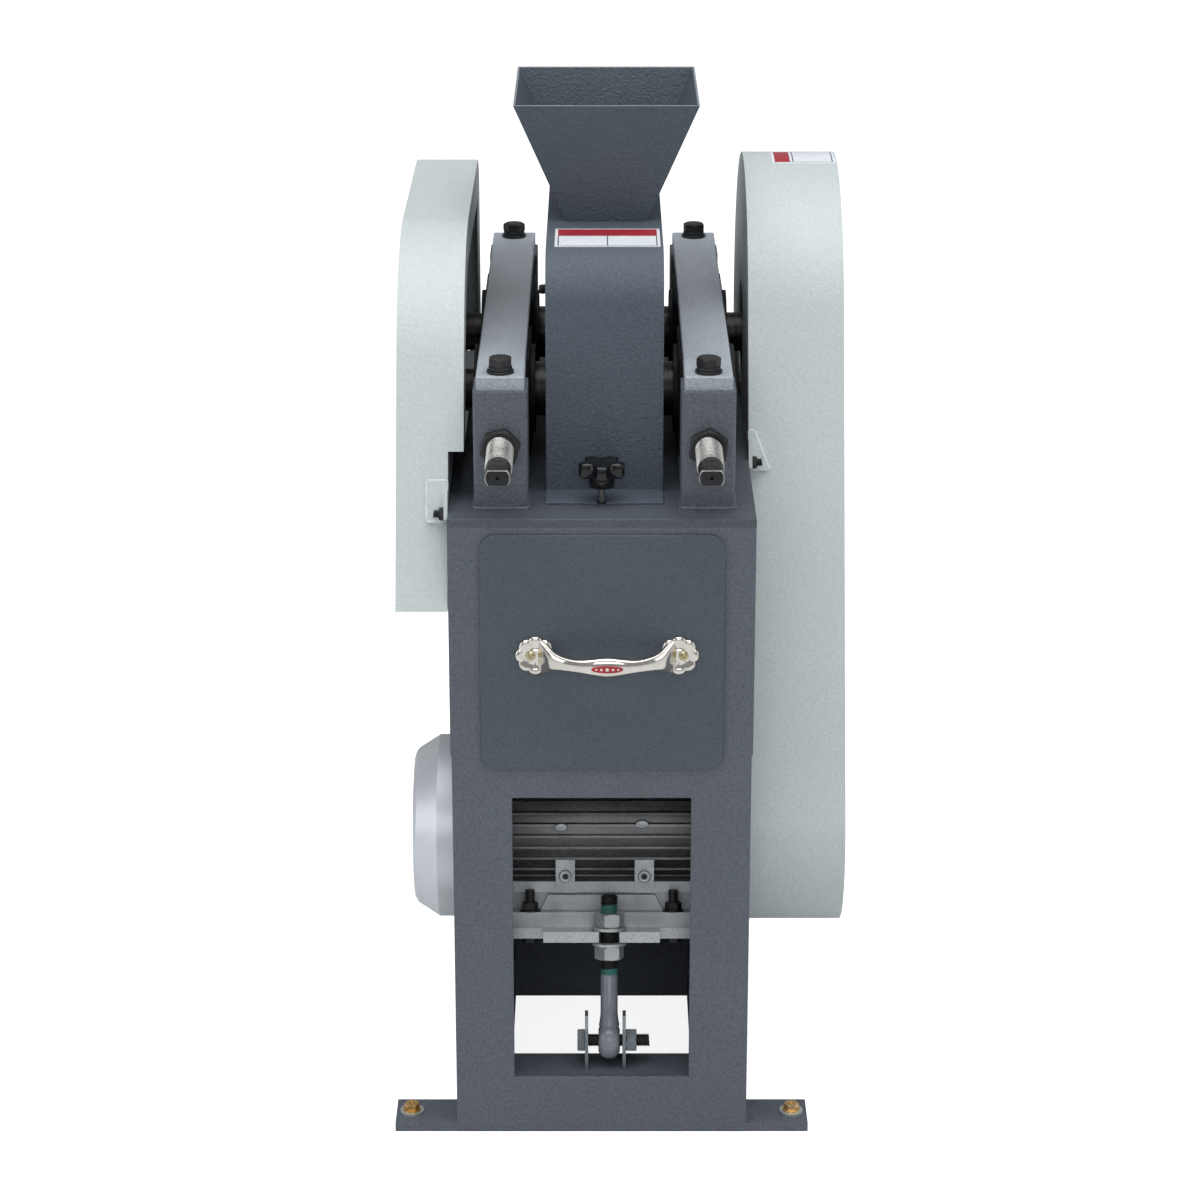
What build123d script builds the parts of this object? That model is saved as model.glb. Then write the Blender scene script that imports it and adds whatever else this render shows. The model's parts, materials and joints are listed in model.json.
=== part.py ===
from build123d import *
import math
import os

# Roller crusher: a cabinet on four foot tabs carries two crushing rollers
# under a casing with a feed hopper. A drawer below catches the crushed grain.
# Origin on the floor under the centre of the cabinet. X right, Y back, Z up.

os.makedirs("parts", exist_ok=True)

# Fits and clearances
fit_gap = 0.05          # radial gap of a pin, shaft or screw in its hole
slide_gap = 0.2         # gap of a flat sliding face
seat_gap = 0.3          # gap of a cover beside the cabinet

# Cabinet
cabinet_depth = 580.0
cabinet_width = 271.0
cabinet_top = 600.0
housing_bottom = 376.0
housing_step = 1.2
housing_chamfer = 1.8
wall = 5.0
deck_thickness = 8.0
rail_height = 56.6
rail_width = 48.0
rail_wall = 4.0
window_width = 161.0
window_border = 40.0
window_top = housing_bottom - window_border
deck_opening_width = 92.0
deck_opening_length = 390.0
tab_length = 56.5
tab_reach = cabinet_width / 2 + tab_length
tab_depth = 48.0
tab_thickness = 8.5
tab_bolt_inset = 14.5
tab_bolt_x = tab_reach - tab_bolt_inset
tab_bolt_size = 12.0
tab_washer_size = 22.0
tab_washer_thickness = 2.0
tab_flange_thickness = 1.6
tab_head_height = 5.0
cross_length = 6.0
cross_width = 1.6
cross_depth = 1.2

# Drawer
drawer_x = 0.5
drawer_front_width = 217.0
drawer_front_bottom = 363.7
drawer_front_border = 14.2
drawer_front_height = cabinet_top - drawer_front_border - drawer_front_bottom
drawer_front_radius = 15.0
drawer_front_thickness = 3.0
drawer_width = 196.0
drawer_headroom = 35.0
drawer_height = cabinet_top - deck_thickness - housing_bottom - wall - drawer_headroom
drawer_length = 440.0
drawer_wall = 2.0
drawer_clearance = 2.0
guide_height = 20.0
guide_thickness = 3.0

# Drawer handle
handle_x = 4.4
handle_spacing = 135.0
handle_rise = 109.3
handle_height = drawer_front_bottom + handle_rise
handle_drop = 1.5
handle_reach = 24.0
grip_width = 16.5
grip_depth = 10.0
grip_boss = 6.0
rosette_width = 33.0
rosette_height = 39.0
rosette_thickness = 4.0
oval_width = 28.0
oval_height = 7.0
oval_thickness = 0.8
handle_screw = 4.0

# Rollers and their line, with the nip a little behind the middle of the cabinet
roll_middle_y = 13.0
shaft_rise = 61.0
shaft_height = cabinet_top + shaft_rise
roller_diameter = 200.0
roller_width = 78.0
roller_gap = 2.0
shaft_radius = 25.0
journal_radius = 20.0
drive_end_radius = 19.0
gear_end_radius = 18.0
journal_end = 3.0
shaft_stub = 4.0
gap_travel = 8.0

# Bearing stands on the deck
stand_offset = 2.4
stand_x = 91.1
stand_width = 47.8
stand_length = cabinet_depth - 30.0
post_depth = 48.0
post_rise = 46.0
post_top = shaft_height + post_rise
bed_thickness = 12.0
bar_width = 42.4
bar_thickness = 12.5
bar_front = stand_length / 2 - 4.0
block_length = 110.0
bearing_radius = 36.0
bearing_width = 18.0
cover_radius = 41.0
cover_thickness = 4.0
cover_lip = 2.4
clamp_bolt_inset = 19.0
clamp_bolt_y = stand_length / 2 - clamp_bolt_inset
clamp_bolt_radius = 6.0
clamp_head_size = 19.0
clamp_head_height = 8.0
clamp_washer_radius = 12.0
clamp_washer_thickness = 2.5
spring_washer_radius = 10.5
spring_washer_thickness = 3.5
clamp_bolt_grip = 30.0

# Gap screws through the posts
screw_drop = 4.0
screw_height = shaft_height - screw_drop
screw_radius = 12.0
front_screw_end = 92.0
rear_screw_end = 43.0
screw_flats = 14.0
screw_flat_length = 26.0
screw_centre_radius = 1.6
screw_centre_depth = 4.0
locknut_size = 32.0
locknut_thickness = 9.0

# Timing gears at the left
gear_teeth = 34
gear_addendum = 5.6
gear_dedendum = 7.4
gear_backlash = 0.5
gear_width = 34.0
gear_clearance = 5.5
gear_x = -(cabinet_width / 2 + gear_clearance)
gear_hub_radius = 32.0
pressure_angle = 20.0

# Gear guard
gear_guard_bulge = 46.5
gear_guard_lap = 13.5
gear_guard_outer = -(cabinet_width / 2 + gear_guard_bulge)
gear_guard_inner = -(cabinet_width / 2 - gear_guard_lap)
gear_guard_lift = 44.5
gear_guard_notch = cabinet_top + gear_guard_lift
gear_guard_below = 147.0
gear_guard_above = 154.0
gear_guard_bottom = shaft_height - gear_guard_below
gear_guard_top = shaft_height + gear_guard_above
gear_guard_lean = 23.2
gear_guard_front = -291.0
gear_guard_arc = 155.0
gear_guard_rear = 229.0
gear_guard_rear_arc = 40.0
gear_guard_border = 36.0
guard_sheet = 1.5

# Belt drive at the right
big_pulley_radius = 150.0
small_pulley_radius = 50.0
pulley_clearance = 14.5
pulley_x = cabinet_width / 2 + pulley_clearance
pulley_width = 36.0
groove_pitch = 16.0
groove_width = 13.0
groove_depth = 12.0
groove_angle = 18.0
belt_width = 11.8
belt_height = 8.5
belt_sink = 0.5
belt_land = 0.8
belt_guard_bulge = 89.5
belt_guard_outer = cabinet_width / 2 + belt_guard_bulge
belt_guard_radius = 175.0
belt_guard_low_radius = 92.0
belt_guard_sheet = 2.0
shaft_hole_radius = 50.0

# Lugs that hold the two guards on the cabinet
lug_width = 19.0
lug_height = 36.0
lug_lift = 4.0
lug_sheet = 3.0
lug_tab = 18.0
lug_bolt_size = 10.0
lug_bolt_height = 10.0

# Motor on its tilting plate
motor_setback = 179.1
motor_y = motor_setback - cabinet_depth / 2
motor_z = 233.6
motor_tilt = 15.0
belt_guard_low_y = motor_y - 29.1
belt_guard_low_z = motor_z + 16.4
motor_height = 84.0
motor_core = 67.0
motor_fin_radius = 80.0
fin_pitch = 10.5
fin_thickness = 2.0
fins_each_way = 5
motor_left = -100.0
motor_right = 85.0
endshield_length = 15.0
endshield_nose = 34.0
endshield_boss = 30.0
endshield_boss_length = 10.0
motor_shaft_radius = 12.0
motor_shaft_stub = 8.0
motor_shaft_end = pulley_x + pulley_width + motor_shaft_stub
fan_cover_radius = 87.0
fan_cover_end = 177.4
fan_cover_edge = 154.0
fan_cover_nose = 74.0
fan_cover_wall = 1.5
fan_hole_gap = 8.0
fan_length = 20.0
fan_gap = 6.0
fan_hub_radius = 24.0
fan_disc_radius = 62.0
fan_blade_reach = 70.0
fan_blades = 6
fan_sheet = 3.0
fan_end_gap = 20.0
cover_slots = (20.0, 34.0, 48.0, 62.0)
cover_slot_width = 8.0
cover_spoke = 6.0
motor_shaft_hole = 45.0
foot_length = 168.0
foot_front = 88.0
foot_flange = 14.0
foot_bolt_x = 67.0
foot_bolt_v = 80.0
foot_bolt_size = 13.0
foot_bolt_end = 20.0
foot_washer = 1.5
foot_nut_height = 7.0
foot_head_height = 5.0
pad_spacing = 74.0
pad_offset = 3.0
pad_width = 18.0
pad_front = 78.0
pad_depth = 27.0
pad_screw_radius = 5.5
pad_screw_height = 2.0
pad_socket_radius = 2.6
fin_gap = 0.3
pad_low = 53.0
pad_high = 22.0
foot_web = 64.0
foot_band = 75.0
foot_band_low = 53.0
foot_band_high = 43.0
foot_block = 72.0
foot_block_top = 56.0
foot_block_half = 50.0
plate_thickness = 10.0
plate_width = 168.0
plate_front = 92.0
plate_tab_front = 114.0
plate_tab_width = 108.0
plate_rear = 100.0
hinge_v = 114.0
hinge_radius = 9.0
hinge_pin_radius = 5.0
hinge_length = 120.0
hinge_ear = 6.0
beam_y = motor_y + 106.9
beam_thickness = 6.0
terminal_length = 84.0
terminal_depth = 34.0
terminal_height = 58.0

# Tension eye bolt
eye_x = 7.0
eye_setback = 29.2
eye_y = eye_setback - cabinet_depth / 2
eye_z = 80.0
eye_radius = 17.5
eye_width = 20.0
eye_round = 9.0
rod_radius = 8.0
rod_length = 137.0
nut_size = 24.0
nut_thickness = 13.0
washer_radius = 16.0
washer_thickness = 3.0
tension_gap = 0.8         # lets the plate tilt between the washers
ear_thickness = 3.0
ear_height = 51.0
ear_depth = 30.0
ear_left = -14.0
ear_right = 21.0
clevis_radius = 6.0
clevis_head_size = 19.5
clevis_head_height = 7.0
clevis_end = 45.0

# Casing, hopper and knob
casing_x = 2.6
casing_width = 104.5
casing_front = 225.0
casing_rise = 153.0
casing_top = shaft_height + casing_rise
casing_bend = 40.0
casing_sheet = 2.0
casing_flange = 37.0
shaft_slot_gap = 3.0
hopper_x = 4.3
hopper_y = 0.0
hopper_height = 111.5
hopper_top = casing_top + hopper_height
hopper_width = 168.0
hopper_length = 190.0
throat_width = 74.0
throat_length = 140.0
hopper_wall = 2.0
knob_reach = casing_front + 32.0
knob_y = roll_middle_y - knob_reach
knob_radius = 20.5
knob_lobes = 5
knob_scallop = 10.0
knob_hub_radius = 11.8
knob_lift = 15.0
knob_hub_height = 10.0
knob_height = 14.0
knob_foot = cabinet_top + knob_lift
knob_shoulder = knob_foot + knob_hub_height
stud_radius = 3.0
stud_length = 32.0
side_screw_y = -17.0
side_screw_rise = 76.0
side_screw_z = shaft_height + side_screw_rise
side_screw_radius = 5.0
side_screw_length = 9.0

# Places worked out from the sizes above
half_depth = cabinet_depth / 2
half_width = cabinet_width / 2
lower_half = half_width - housing_step
deck_bottom = cabinet_top - deck_thickness
shelf_top = housing_bottom + wall
roller_radius = roller_diameter / 2
centre_distance = roller_diameter + roller_gap
pitch_radius = centre_distance / 2
front_y = roll_middle_y - pitch_radius
rear_y = roll_middle_y + pitch_radius
bed_top = cabinet_top + bed_thickness
bar_top = post_top + bar_thickness
stand_front = stand_length / 2
guard_back_x = half_width + seat_gap
plate_top = -motor_height
plate_bottom = plate_top - plate_thickness


def block(x0, x1, y0, y1, z0, z1):
    centre = Pos((x0 + x1) / 2, (y0 + y1) / 2, (z0 + z1) / 2)
    return centre * Box(x1 - x0, y1 - y0, z1 - z0)


def bar_x(radius, x0, x1, y, z):
    return Pos((x0 + x1) / 2, y, z) * Rot(0, 90, 0) * Cylinder(radius, x1 - x0)


def bar_y(radius, y0, y1, x, z):
    return Pos(x, (y0 + y1) / 2, z) * Rot(90, 0, 0) * Cylinder(radius, y1 - y0)


def bar_z(radius, z0, z1, x, y):
    return Pos(x, y, (z0 + z1) / 2) * Cylinder(radius, z1 - z0)


def ring_z(outer, inner, z0, z1, x, y):
    return bar_z(outer, z0, z1, x, y) - bar_z(inner, z0, z1, x, y)


def along_x(sketch, x0, x1):
    return extrude(Plane.YZ.offset(x0) * sketch, x1 - x0, dir=(1, 0, 0))


def hex_prism(across, height):
    outline = RegularPolygon(across / 2, 6, major_radius=False)
    trim = chamfer(Cylinder(across / math.sqrt(3), height).edges().group_by(Axis.Z)[-1], across * 0.06)
    return extrude(outline, height) & Pos(0, 0, height / 2) * trim


def hex_bolt(across, head, radius, length):
    return hex_prism(across, head) + Pos(0, 0, -length / 2) * Cylinder(radius, length)


def solids_of(items):
    found = []
    for item in items:
        found.extend(item.solids())
    return found


def save(name, *items):
    found = solids_of(items)
    shape = found[0] if len(found) == 1 else Compound(children=found)
    export_step(shape, f"parts/{name}.step")


def mirrored(item):
    return mirror(item, Plane.YZ)


def front_and_rear(item):
    return [item, mirror(item, Plane.XZ)]


# Cabinet: base rails, tabs and plates

def rail(x0, x1, y0, y1, along_depth):
    outer = block(x0, x1, y0, y1, 0, rail_height)
    if along_depth:
        inner = block(x0 + rail_wall, x1 - rail_wall, y0, y1, 0, rail_height - rail_wall)
    else:
        inner = block(x0, x1, y0 + rail_wall, y1 - rail_wall, 0, rail_height - rail_wall)
    return outer - inner


def base_rails():
    outer_x = lower_half - wall
    inner_x = outer_x - rail_width + wall
    outer_y = half_depth - wall
    inner_y = outer_y - rail_width + wall
    right = rail(inner_x, outer_x, -outer_y, outer_y, True)
    front = rail(-inner_x, inner_x, -outer_y, -inner_y, False)
    return [right, mirrored(right)] + front_and_rear(front)


def foot_tabs():
    tab = block(lower_half, tab_reach, -half_depth, tab_depth - half_depth, 0, tab_thickness)
    tab -= bar_z(tab_bolt_size / 4 + fit_gap, 0, tab_thickness, tab_bolt_x, tab_depth / 2 - half_depth)
    tabs = front_and_rear(tab)
    return tabs + [mirrored(t) for t in tabs]


def tab_bolts():
    at = Pos(tab_bolt_x, tab_depth / 2 - half_depth, tab_thickness)
    hole = tab_bolt_size / 4 + fit_gap
    washer = at * ring_z(tab_washer_size / 2, hole, 0, tab_washer_thickness, 0, 0)
    flange = bar_z(tab_bolt_size * 0.68, 0, tab_flange_thickness, 0, 0)
    head = hex_bolt(tab_bolt_size, tab_head_height, tab_bolt_size / 4, tab_thickness + tab_flange_thickness)
    bolt = Pos(0, 0, tab_flange_thickness) * head + flange
    top = tab_flange_thickness + tab_head_height
    cross = Box(cross_length, cross_width, 2 * cross_depth) + Box(cross_width, cross_length, 2 * cross_depth)
    bolt = at * Pos(0, 0, tab_washer_thickness) * (bolt - Pos(0, 0, top) * cross)
    bolts = front_and_rear(bolt)
    washers = front_and_rear(washer)
    return bolts + [mirrored(b) for b in bolts], washers + [mirrored(w) for w in washers]


def lower_front_plate():
    plate = block(-lower_half, lower_half, -half_depth, wall - half_depth, 0, housing_bottom)
    return plate - block(-window_width / 2, window_width / 2, -half_depth, wall - half_depth,
                         rail_height, window_top)


def lower_side_plate():
    return block(lower_half - wall, lower_half, wall - half_depth, half_depth - wall, 0, housing_bottom)


def left_side_plate():
    hole = bar_x(fan_cover_radius + fan_hole_gap, -lower_half, wall - lower_half, motor_y, motor_z)
    return mirrored(lower_side_plate()) - hole


def right_side_plate():
    return lower_side_plate() - bar_x(motor_shaft_hole, lower_half - wall, lower_half, motor_y, motor_z)


def upper_side_plates():
    plate = block(half_width - wall, half_width, -half_depth, half_depth, housing_bottom, deck_bottom)
    edge = plate.edges().filter_by(Axis.Y).group_by(Axis.Z)[0].sort_by(Axis.X)[-1]
    plate = chamfer(edge, housing_chamfer)
    return [plate, mirrored(plate)]


def drawer_opening():
    half = drawer_width / 2 + drawer_clearance
    top = shelf_top + drawer_height + 2 * drawer_clearance
    return block(drawer_x - half, drawer_x + half, -half_depth, wall - half_depth, shelf_top, top)


def upper_end_plate():
    inner = half_width - wall
    return block(-inner, inner, -half_depth, wall - half_depth, housing_bottom, deck_bottom)


def rear_plates():
    lower = block(-lower_half, lower_half, half_depth - wall, half_depth, 0, housing_bottom)
    return [lower, mirror(upper_end_plate(), Plane.XZ)]


def drawer_shelf():
    inner = half_width - wall
    return block(-inner, inner, wall - half_depth, half_depth - wall, housing_bottom, shelf_top)


def drawer_guides():
    inner = drawer_width / 2 + slide_gap
    front = wall - half_depth
    upright = block(inner, inner + guide_thickness, front, front + drawer_length, shelf_top,
                    shelf_top + guide_height)
    foot = block(inner, inner + guide_height, front, front + drawer_length, shelf_top,
                 shelf_top + guide_thickness)
    guide = upright + foot
    return [Pos(drawer_x, 0, 0) * guide, Pos(drawer_x, 0, 0) * mirrored(guide)]


def deck_plate():
    deck = block(-half_width, half_width, -half_depth, half_depth, deck_bottom, cabinet_top)
    cut = block(-deck_opening_width / 2, deck_opening_width / 2, roll_middle_y - deck_opening_length / 2,
                roll_middle_y + deck_opening_length / 2, deck_bottom, cabinet_top)
    return deck - cut


def hinge_centre():
    down = plate_top - plate_thickness / 2
    tilt = math.radians(motor_tilt)
    y = motor_y + hinge_v * math.cos(tilt) + down * math.sin(tilt)
    z = motor_z - hinge_v * math.sin(tilt) + down * math.cos(tilt)
    return y, z


def hinge_beam():
    y, z = hinge_centre()
    inner_rail = lower_half - rail_width
    side = lower_half - wall
    low = block(-inner_rail, inner_rail, beam_y, beam_y + beam_thickness, 0, rail_height)
    high = block(-side, side, beam_y, beam_y + beam_thickness, rail_height, z)
    beam = low + high
    ears = []
    ear_x = hinge_length / 2 + slide_gap
    for x0 in (ear_x, -ear_x - hinge_ear):
        arm = block(x0, x0 + hinge_ear, y, beam_y, z - hinge_radius, z + hinge_radius)
        ear = arm + bar_x(hinge_radius, x0, x0 + hinge_ear, y, z)
        ears.append(ear - bar_x(hinge_pin_radius + fit_gap, x0, x0 + hinge_ear, y, z))
    return beam, ears


def hinge_pin():
    y, z = hinge_centre()
    end = hinge_length / 2 + slide_gap + hinge_ear
    pin = bar_x(hinge_pin_radius, -end, end + 2, y, z)
    return pin + bar_x(hinge_pin_radius + 3, -end - 3, -end, y, z)


# Drawer and its handle

def drawer_front():
    outline = RectangleRounded(drawer_front_width, drawer_front_height, drawer_front_radius)
    middle = drawer_front_bottom + drawer_front_height / 2
    panel = Pos(drawer_x, -half_depth, middle) * Rot(90, 0, 0) * extrude(outline, drawer_front_thickness)
    return chamfer(panel.faces().sort_by(Axis.Y)[0].edges(), 0.8)


def drawer_box():
    low = shelf_top + slide_gap
    half = drawer_width / 2
    back = drawer_length - half_depth
    box = block(-half, half, -half_depth, back, low, low + drawer_height)
    inside = block(drawer_wall - half, half - drawer_wall, drawer_wall - half_depth, back - drawer_wall,
                   low + drawer_wall, low + drawer_height)
    return Pos(drawer_x, 0, 0) * (box - inside)


def rosette():
    turns = 8
    points = []
    for i in range(turns * 2):
        angle = math.pi * i / turns
        reach = 0.5 if i % 2 == 0 else 0.42
        points.append((rosette_width * reach * math.cos(angle), rosette_height * reach * math.sin(angle)))
    outline = make_face(Spline(*points, periodic=True))
    plate = extrude(outline, rosette_thickness * 0.6)
    dome = extrude(Ellipse(rosette_width * 0.36, rosette_height * 0.34), rosette_thickness)
    return Rot(90, 0, 0) * (plate + dome)


def handle():
    half = handle_spacing / 2
    face = -half_depth - drawer_front_thickness
    pieces = []
    for side in (-1, 1):
        place = Pos(handle_x + side * half, face, handle_height)
        pieces.append(place * rosette())
    start = face - rosette_thickness / 2
    inset = rosette_width * 0.34
    points = [(-half + inset, start, handle_height - 2), (-half * 0.62, face - handle_reach * 0.86,
              handle_height - handle_drop * 0.9), (0, face - handle_reach, handle_height - handle_drop),
              (half * 0.62, face - handle_reach * 0.86, handle_height - handle_drop * 0.9),
              (half - inset, start, handle_height - 2)]
    path = Pos(handle_x, 0, 0) * Spline(*points)
    across = Plane(origin=path @ 0, x_dir=(0, 0, 1), z_dir=path % 0)
    grip = sweep(across * Ellipse(grip_width / 2, grip_depth / 2), path)
    boss = Pos(handle_x, face - handle_reach, handle_height - handle_drop) * Rot(90, 0, 0) * \
        extrude(Ellipse(oval_width * 0.6, grip_width * 0.56), grip_boss, both=True)
    whole = pieces[0] + pieces[1] + grip + boss
    whole -= block(handle_x - handle_spacing, handle_x + handle_spacing, face, face + grip_width,
                   handle_height - rosette_height, handle_height + rosette_height)
    for side in (-1, 1):
        whole -= bar_y(handle_screw / 2 + fit_gap, face - rosette_thickness, face,
                       handle_x + side * half, handle_height)
    return whole


def handle_oval():
    front = -half_depth - drawer_front_thickness - handle_reach - grip_boss
    badge = extrude(Ellipse(oval_width / 2, oval_height / 2), oval_thickness)
    return Pos(handle_x, front, handle_height - handle_drop) * Rot(90, 0, 0) * badge


def handle_screws():
    face = -half_depth - drawer_front_thickness
    found = []
    for side in (-1, 1):
        head = Pos(0, 0, rosette_thickness + 1) * Cylinder(handle_screw * 0.95, 2)
        head = chamfer(head.edges().group_by(Axis.Z)[-1], 0.8)
        head += Pos(0, 0, rosette_thickness / 2) * Cylinder(handle_screw / 2, rosette_thickness)
        head -= Pos(0, 0, rosette_thickness + 1.6) * (Box(4.4, 0.9, 1) + Box(0.9, 4.4, 1))
        found.append(Pos(handle_x + side * handle_spacing / 2, face, handle_height) * Rot(90, 0, 0) * head)
    return found


# Bearing stands, blocks and gap screws. Their pieces are made about the middle
# between the rollers and then put in place

def at_stand(side, item):
    return Pos(stand_offset + side * stand_x, roll_middle_y, 0) * item


def both_stands(item):
    return [at_stand(1, item), at_stand(-1, item)]


def bearing_posts():
    half = stand_width / 2
    post = block(-half, half, -stand_front, post_depth - stand_front, cabinet_top, post_top)
    post = chamfer(post.edges().filter_by(Axis.Z), 2)
    post -= bar_y(screw_radius + fit_gap, -stand_front, post_depth - stand_front, 0, screw_height)
    post -= bar_z(clamp_bolt_radius + fit_gap, post_top - clamp_bolt_grip, post_top, 0, -clamp_bolt_y)
    found = []
    for item in front_and_rear(post):
        found.extend(both_stands(item))
    return found


def bearing_beds():
    half = stand_width / 2
    reach = stand_front - post_depth
    return both_stands(block(-half, half, -reach, reach, cabinet_top, bed_top))


def clamp_bars():
    half = bar_width / 2
    bar = block(-half, half, -bar_front, stand_front, post_top, bar_top)
    bar = chamfer(bar.edges().group_by(Axis.Z)[-1], 1)
    for y in (-clamp_bolt_y, clamp_bolt_y):
        bar -= bar_z(clamp_bolt_radius + fit_gap, post_top, bar_top, 0, y)
    return both_stands(bar)


def clamp_bolts():
    flat_top = bar_top + clamp_washer_thickness
    spring_top = flat_top + spring_washer_thickness
    hole = clamp_bolt_radius + fit_gap
    length = spring_top - post_top + clamp_bolt_grip - 1
    bolts = []
    washers = []
    for y in (-clamp_bolt_y, clamp_bolt_y):
        bolt = hex_bolt(clamp_head_size, clamp_head_height, clamp_bolt_radius, length)
        bolts.extend(both_stands(Pos(0, y, spring_top) * bolt))
        flat = ring_z(clamp_washer_radius, hole, bar_top, flat_top, 0, y)
        spring = ring_z(spring_washer_radius, hole, flat_top, spring_top, 0, y)
        spring -= block(hole - 1, spring_washer_radius + 1, y - 0.8, y + 0.8, flat_top, spring_top)
        washers.extend(both_stands(flat) + both_stands(spring))
    return bolts, washers


def bearing_block(y):
    half = stand_width / 2 - slide_gap
    long = block_length / 2
    body = block(-half, half, y - long, y + long, bed_top + slide_gap, post_top - slide_gap)
    body = chamfer(body.edges().filter_by(Axis.X), 3)
    body -= bar_x(bearing_radius + fit_gap, -bearing_width / 2, half, y, shaft_height)
    return body - bar_x(bearing_radius - 6, -half, half, y, shaft_height)


def bearing_ring(y):
    outer = bar_x(bearing_radius, -bearing_width / 2, bearing_width / 2, y, shaft_height)
    return outer - bar_x(journal_radius + fit_gap, -bearing_width / 2, bearing_width / 2, y, shaft_height)


def bearing_cover(y):
    half = stand_width / 2 - slide_gap
    shoulder = half + cover_thickness
    end = shoulder + cover_lip
    cover = bar_x(cover_radius, half, shoulder, y, shaft_height)
    cover += bar_x(cover_radius * 0.62, shoulder, end, y, shaft_height)
    return cover - bar_x(shaft_radius + 1, half, end, y, shaft_height)


def carriage_pieces(y):
    right_block = bearing_block(y)
    blocks = [at_stand(1, right_block), at_stand(-1, mirrored(right_block))]
    rings = both_stands(bearing_ring(y))
    right_cover = bearing_cover(y)
    covers = both_stands(right_cover) + both_stands(mirrored(right_cover))
    return blocks, rings, covers


def gap_screw(end):
    screw_reach = stand_front + end
    tip = -pitch_radius - block_length / 2
    thread_end = screw_flat_length - screw_reach
    body = bar_y(screw_radius, thread_end, tip, 0, screw_height)
    body = chamfer(body.edges().group_by(Axis.Y)[0], 1)
    end = bar_y(screw_radius - 1, -screw_reach, thread_end, 0, screw_height)
    end = chamfer(end.edges().group_by(Axis.Y)[0], 1)
    half = screw_flats / 2
    end = end & block(-screw_radius, screw_radius, -screw_reach, thread_end, screw_height - half,
                      screw_height + half)
    hole = bar_y(screw_centre_radius, -screw_reach, screw_centre_depth - screw_reach, 0, screw_height)
    return body + end - hole


def lock_nut():
    nut = Pos(0, -stand_front, screw_height) * Rot(90, 0, 0) * hex_prism(locknut_size, locknut_thickness)
    front = -stand_front - locknut_thickness
    return nut - bar_y(screw_radius + fit_gap, front, -stand_front, 0, screw_height)


# Rollers, shafts and timing gears

def roller(y):
    half = roller_width / 2
    body = bar_x(roller_radius, -half, half, y, shaft_height)
    body = chamfer(body.edges(), 1.5)
    return body - bar_x(shaft_radius + fit_gap, -half, half, y, shaft_height)


def step_shaft(y, right_end, right_radius):
    inner = stand_x - stand_width / 2
    outer = stand_x + stand_width / 2 + journal_end
    left = stand_offset - outer
    right = stand_offset + outer
    gear_end = gear_x - gear_width - shaft_stub
    shaft = bar_x(shaft_radius, stand_offset - inner, stand_offset + inner, y, shaft_height)
    shaft += bar_x(journal_radius, left, right, y, shaft_height)
    shaft += bar_x(gear_end_radius, gear_end, left + 1, y, shaft_height)
    if right_end > right:
        shaft += bar_x(right_radius, right - 1, right_end, y, shaft_height)
    ends = shaft.edges().filter_by(GeomType.CIRCLE).sort_by(Axis.X)
    return chamfer([ends[0], ends[-1]], 1.5)


def tooth_half_angle(radius):
    base = pitch_radius * math.cos(math.radians(pressure_angle))
    at_pitch = math.pi / (2 * gear_teeth) - gear_backlash / (2 * pitch_radius)
    at_pitch += math.tan(math.radians(pressure_angle)) - math.radians(pressure_angle)
    if radius <= base:
        return at_pitch
    roll = math.acos(base / radius)
    return at_pitch - (math.tan(roll) - roll)


def gear(y, turn):
    root = pitch_radius - gear_dedendum
    tip = pitch_radius + gear_addendum
    levels = [root, pitch_radius * 0.96, pitch_radius, tip]
    points = []
    for tooth in range(gear_teeth):
        middle = turn + 2 * math.pi * tooth / gear_teeth
        flank = [(r, tooth_half_angle(r)) for r in levels]
        for r, half in flank:
            points.append((r * math.cos(middle - half), r * math.sin(middle - half)))
        for r, half in reversed(flank):
            points.append((r * math.cos(middle + half), r * math.sin(middle + half)))
    outline = make_face(Polyline(*points, close=True))
    blank = outline - Circle(gear_end_radius + fit_gap)
    wheel = extrude(blank, gear_width)
    recess = Circle(pitch_radius - gear_dedendum - 10) - Circle(gear_hub_radius)
    wheel -= extrude(recess, gear_width * 0.3)
    wheel -= Pos(0, 0, gear_width * 0.7) * extrude(recess, gear_width * 0.3)
    return Plane(origin=(gear_x - gear_width, y, shaft_height), x_dir=(0, 1, 0), z_dir=(1, 0, 0)) * wheel


# Belt drive

def tangent_outline(y1, z1, r1, y2, z2, r2):
    span = math.hypot(y2 - y1, z2 - z1)
    along = math.atan2(z2 - z1, y2 - y1)
    spread = math.acos((r1 - r2) / span)

    def on(y, z, r, angle):
        return (y + r * math.cos(angle), z + r * math.sin(angle))

    a1 = on(y1, z1, r1, along + spread)
    a2 = on(y2, z2, r2, along + spread)
    b2 = on(y2, z2, r2, along - spread)
    b1 = on(y1, z1, r1, along - spread)
    cap_2 = on(y2, z2, r2, along)
    cap_1 = on(y1, z1, r1, along + math.pi)
    return [Line(a1, a2), ThreePointArc(a2, cap_2, b2), Line(b2, b1), ThreePointArc(b1, cap_1, a1)]


def guard_face(inset):
    edges = tangent_outline(rear_y, shaft_height, belt_guard_radius - inset, belt_guard_low_y,
                            belt_guard_low_z, belt_guard_low_radius - inset)
    return make_face(edges)


def belt_guard():
    cover = along_x(guard_face(0), guard_back_x, belt_guard_outer)
    hollow = along_x(guard_face(belt_guard_sheet), guard_back_x, belt_guard_outer - belt_guard_sheet)
    return cover - hollow


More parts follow.
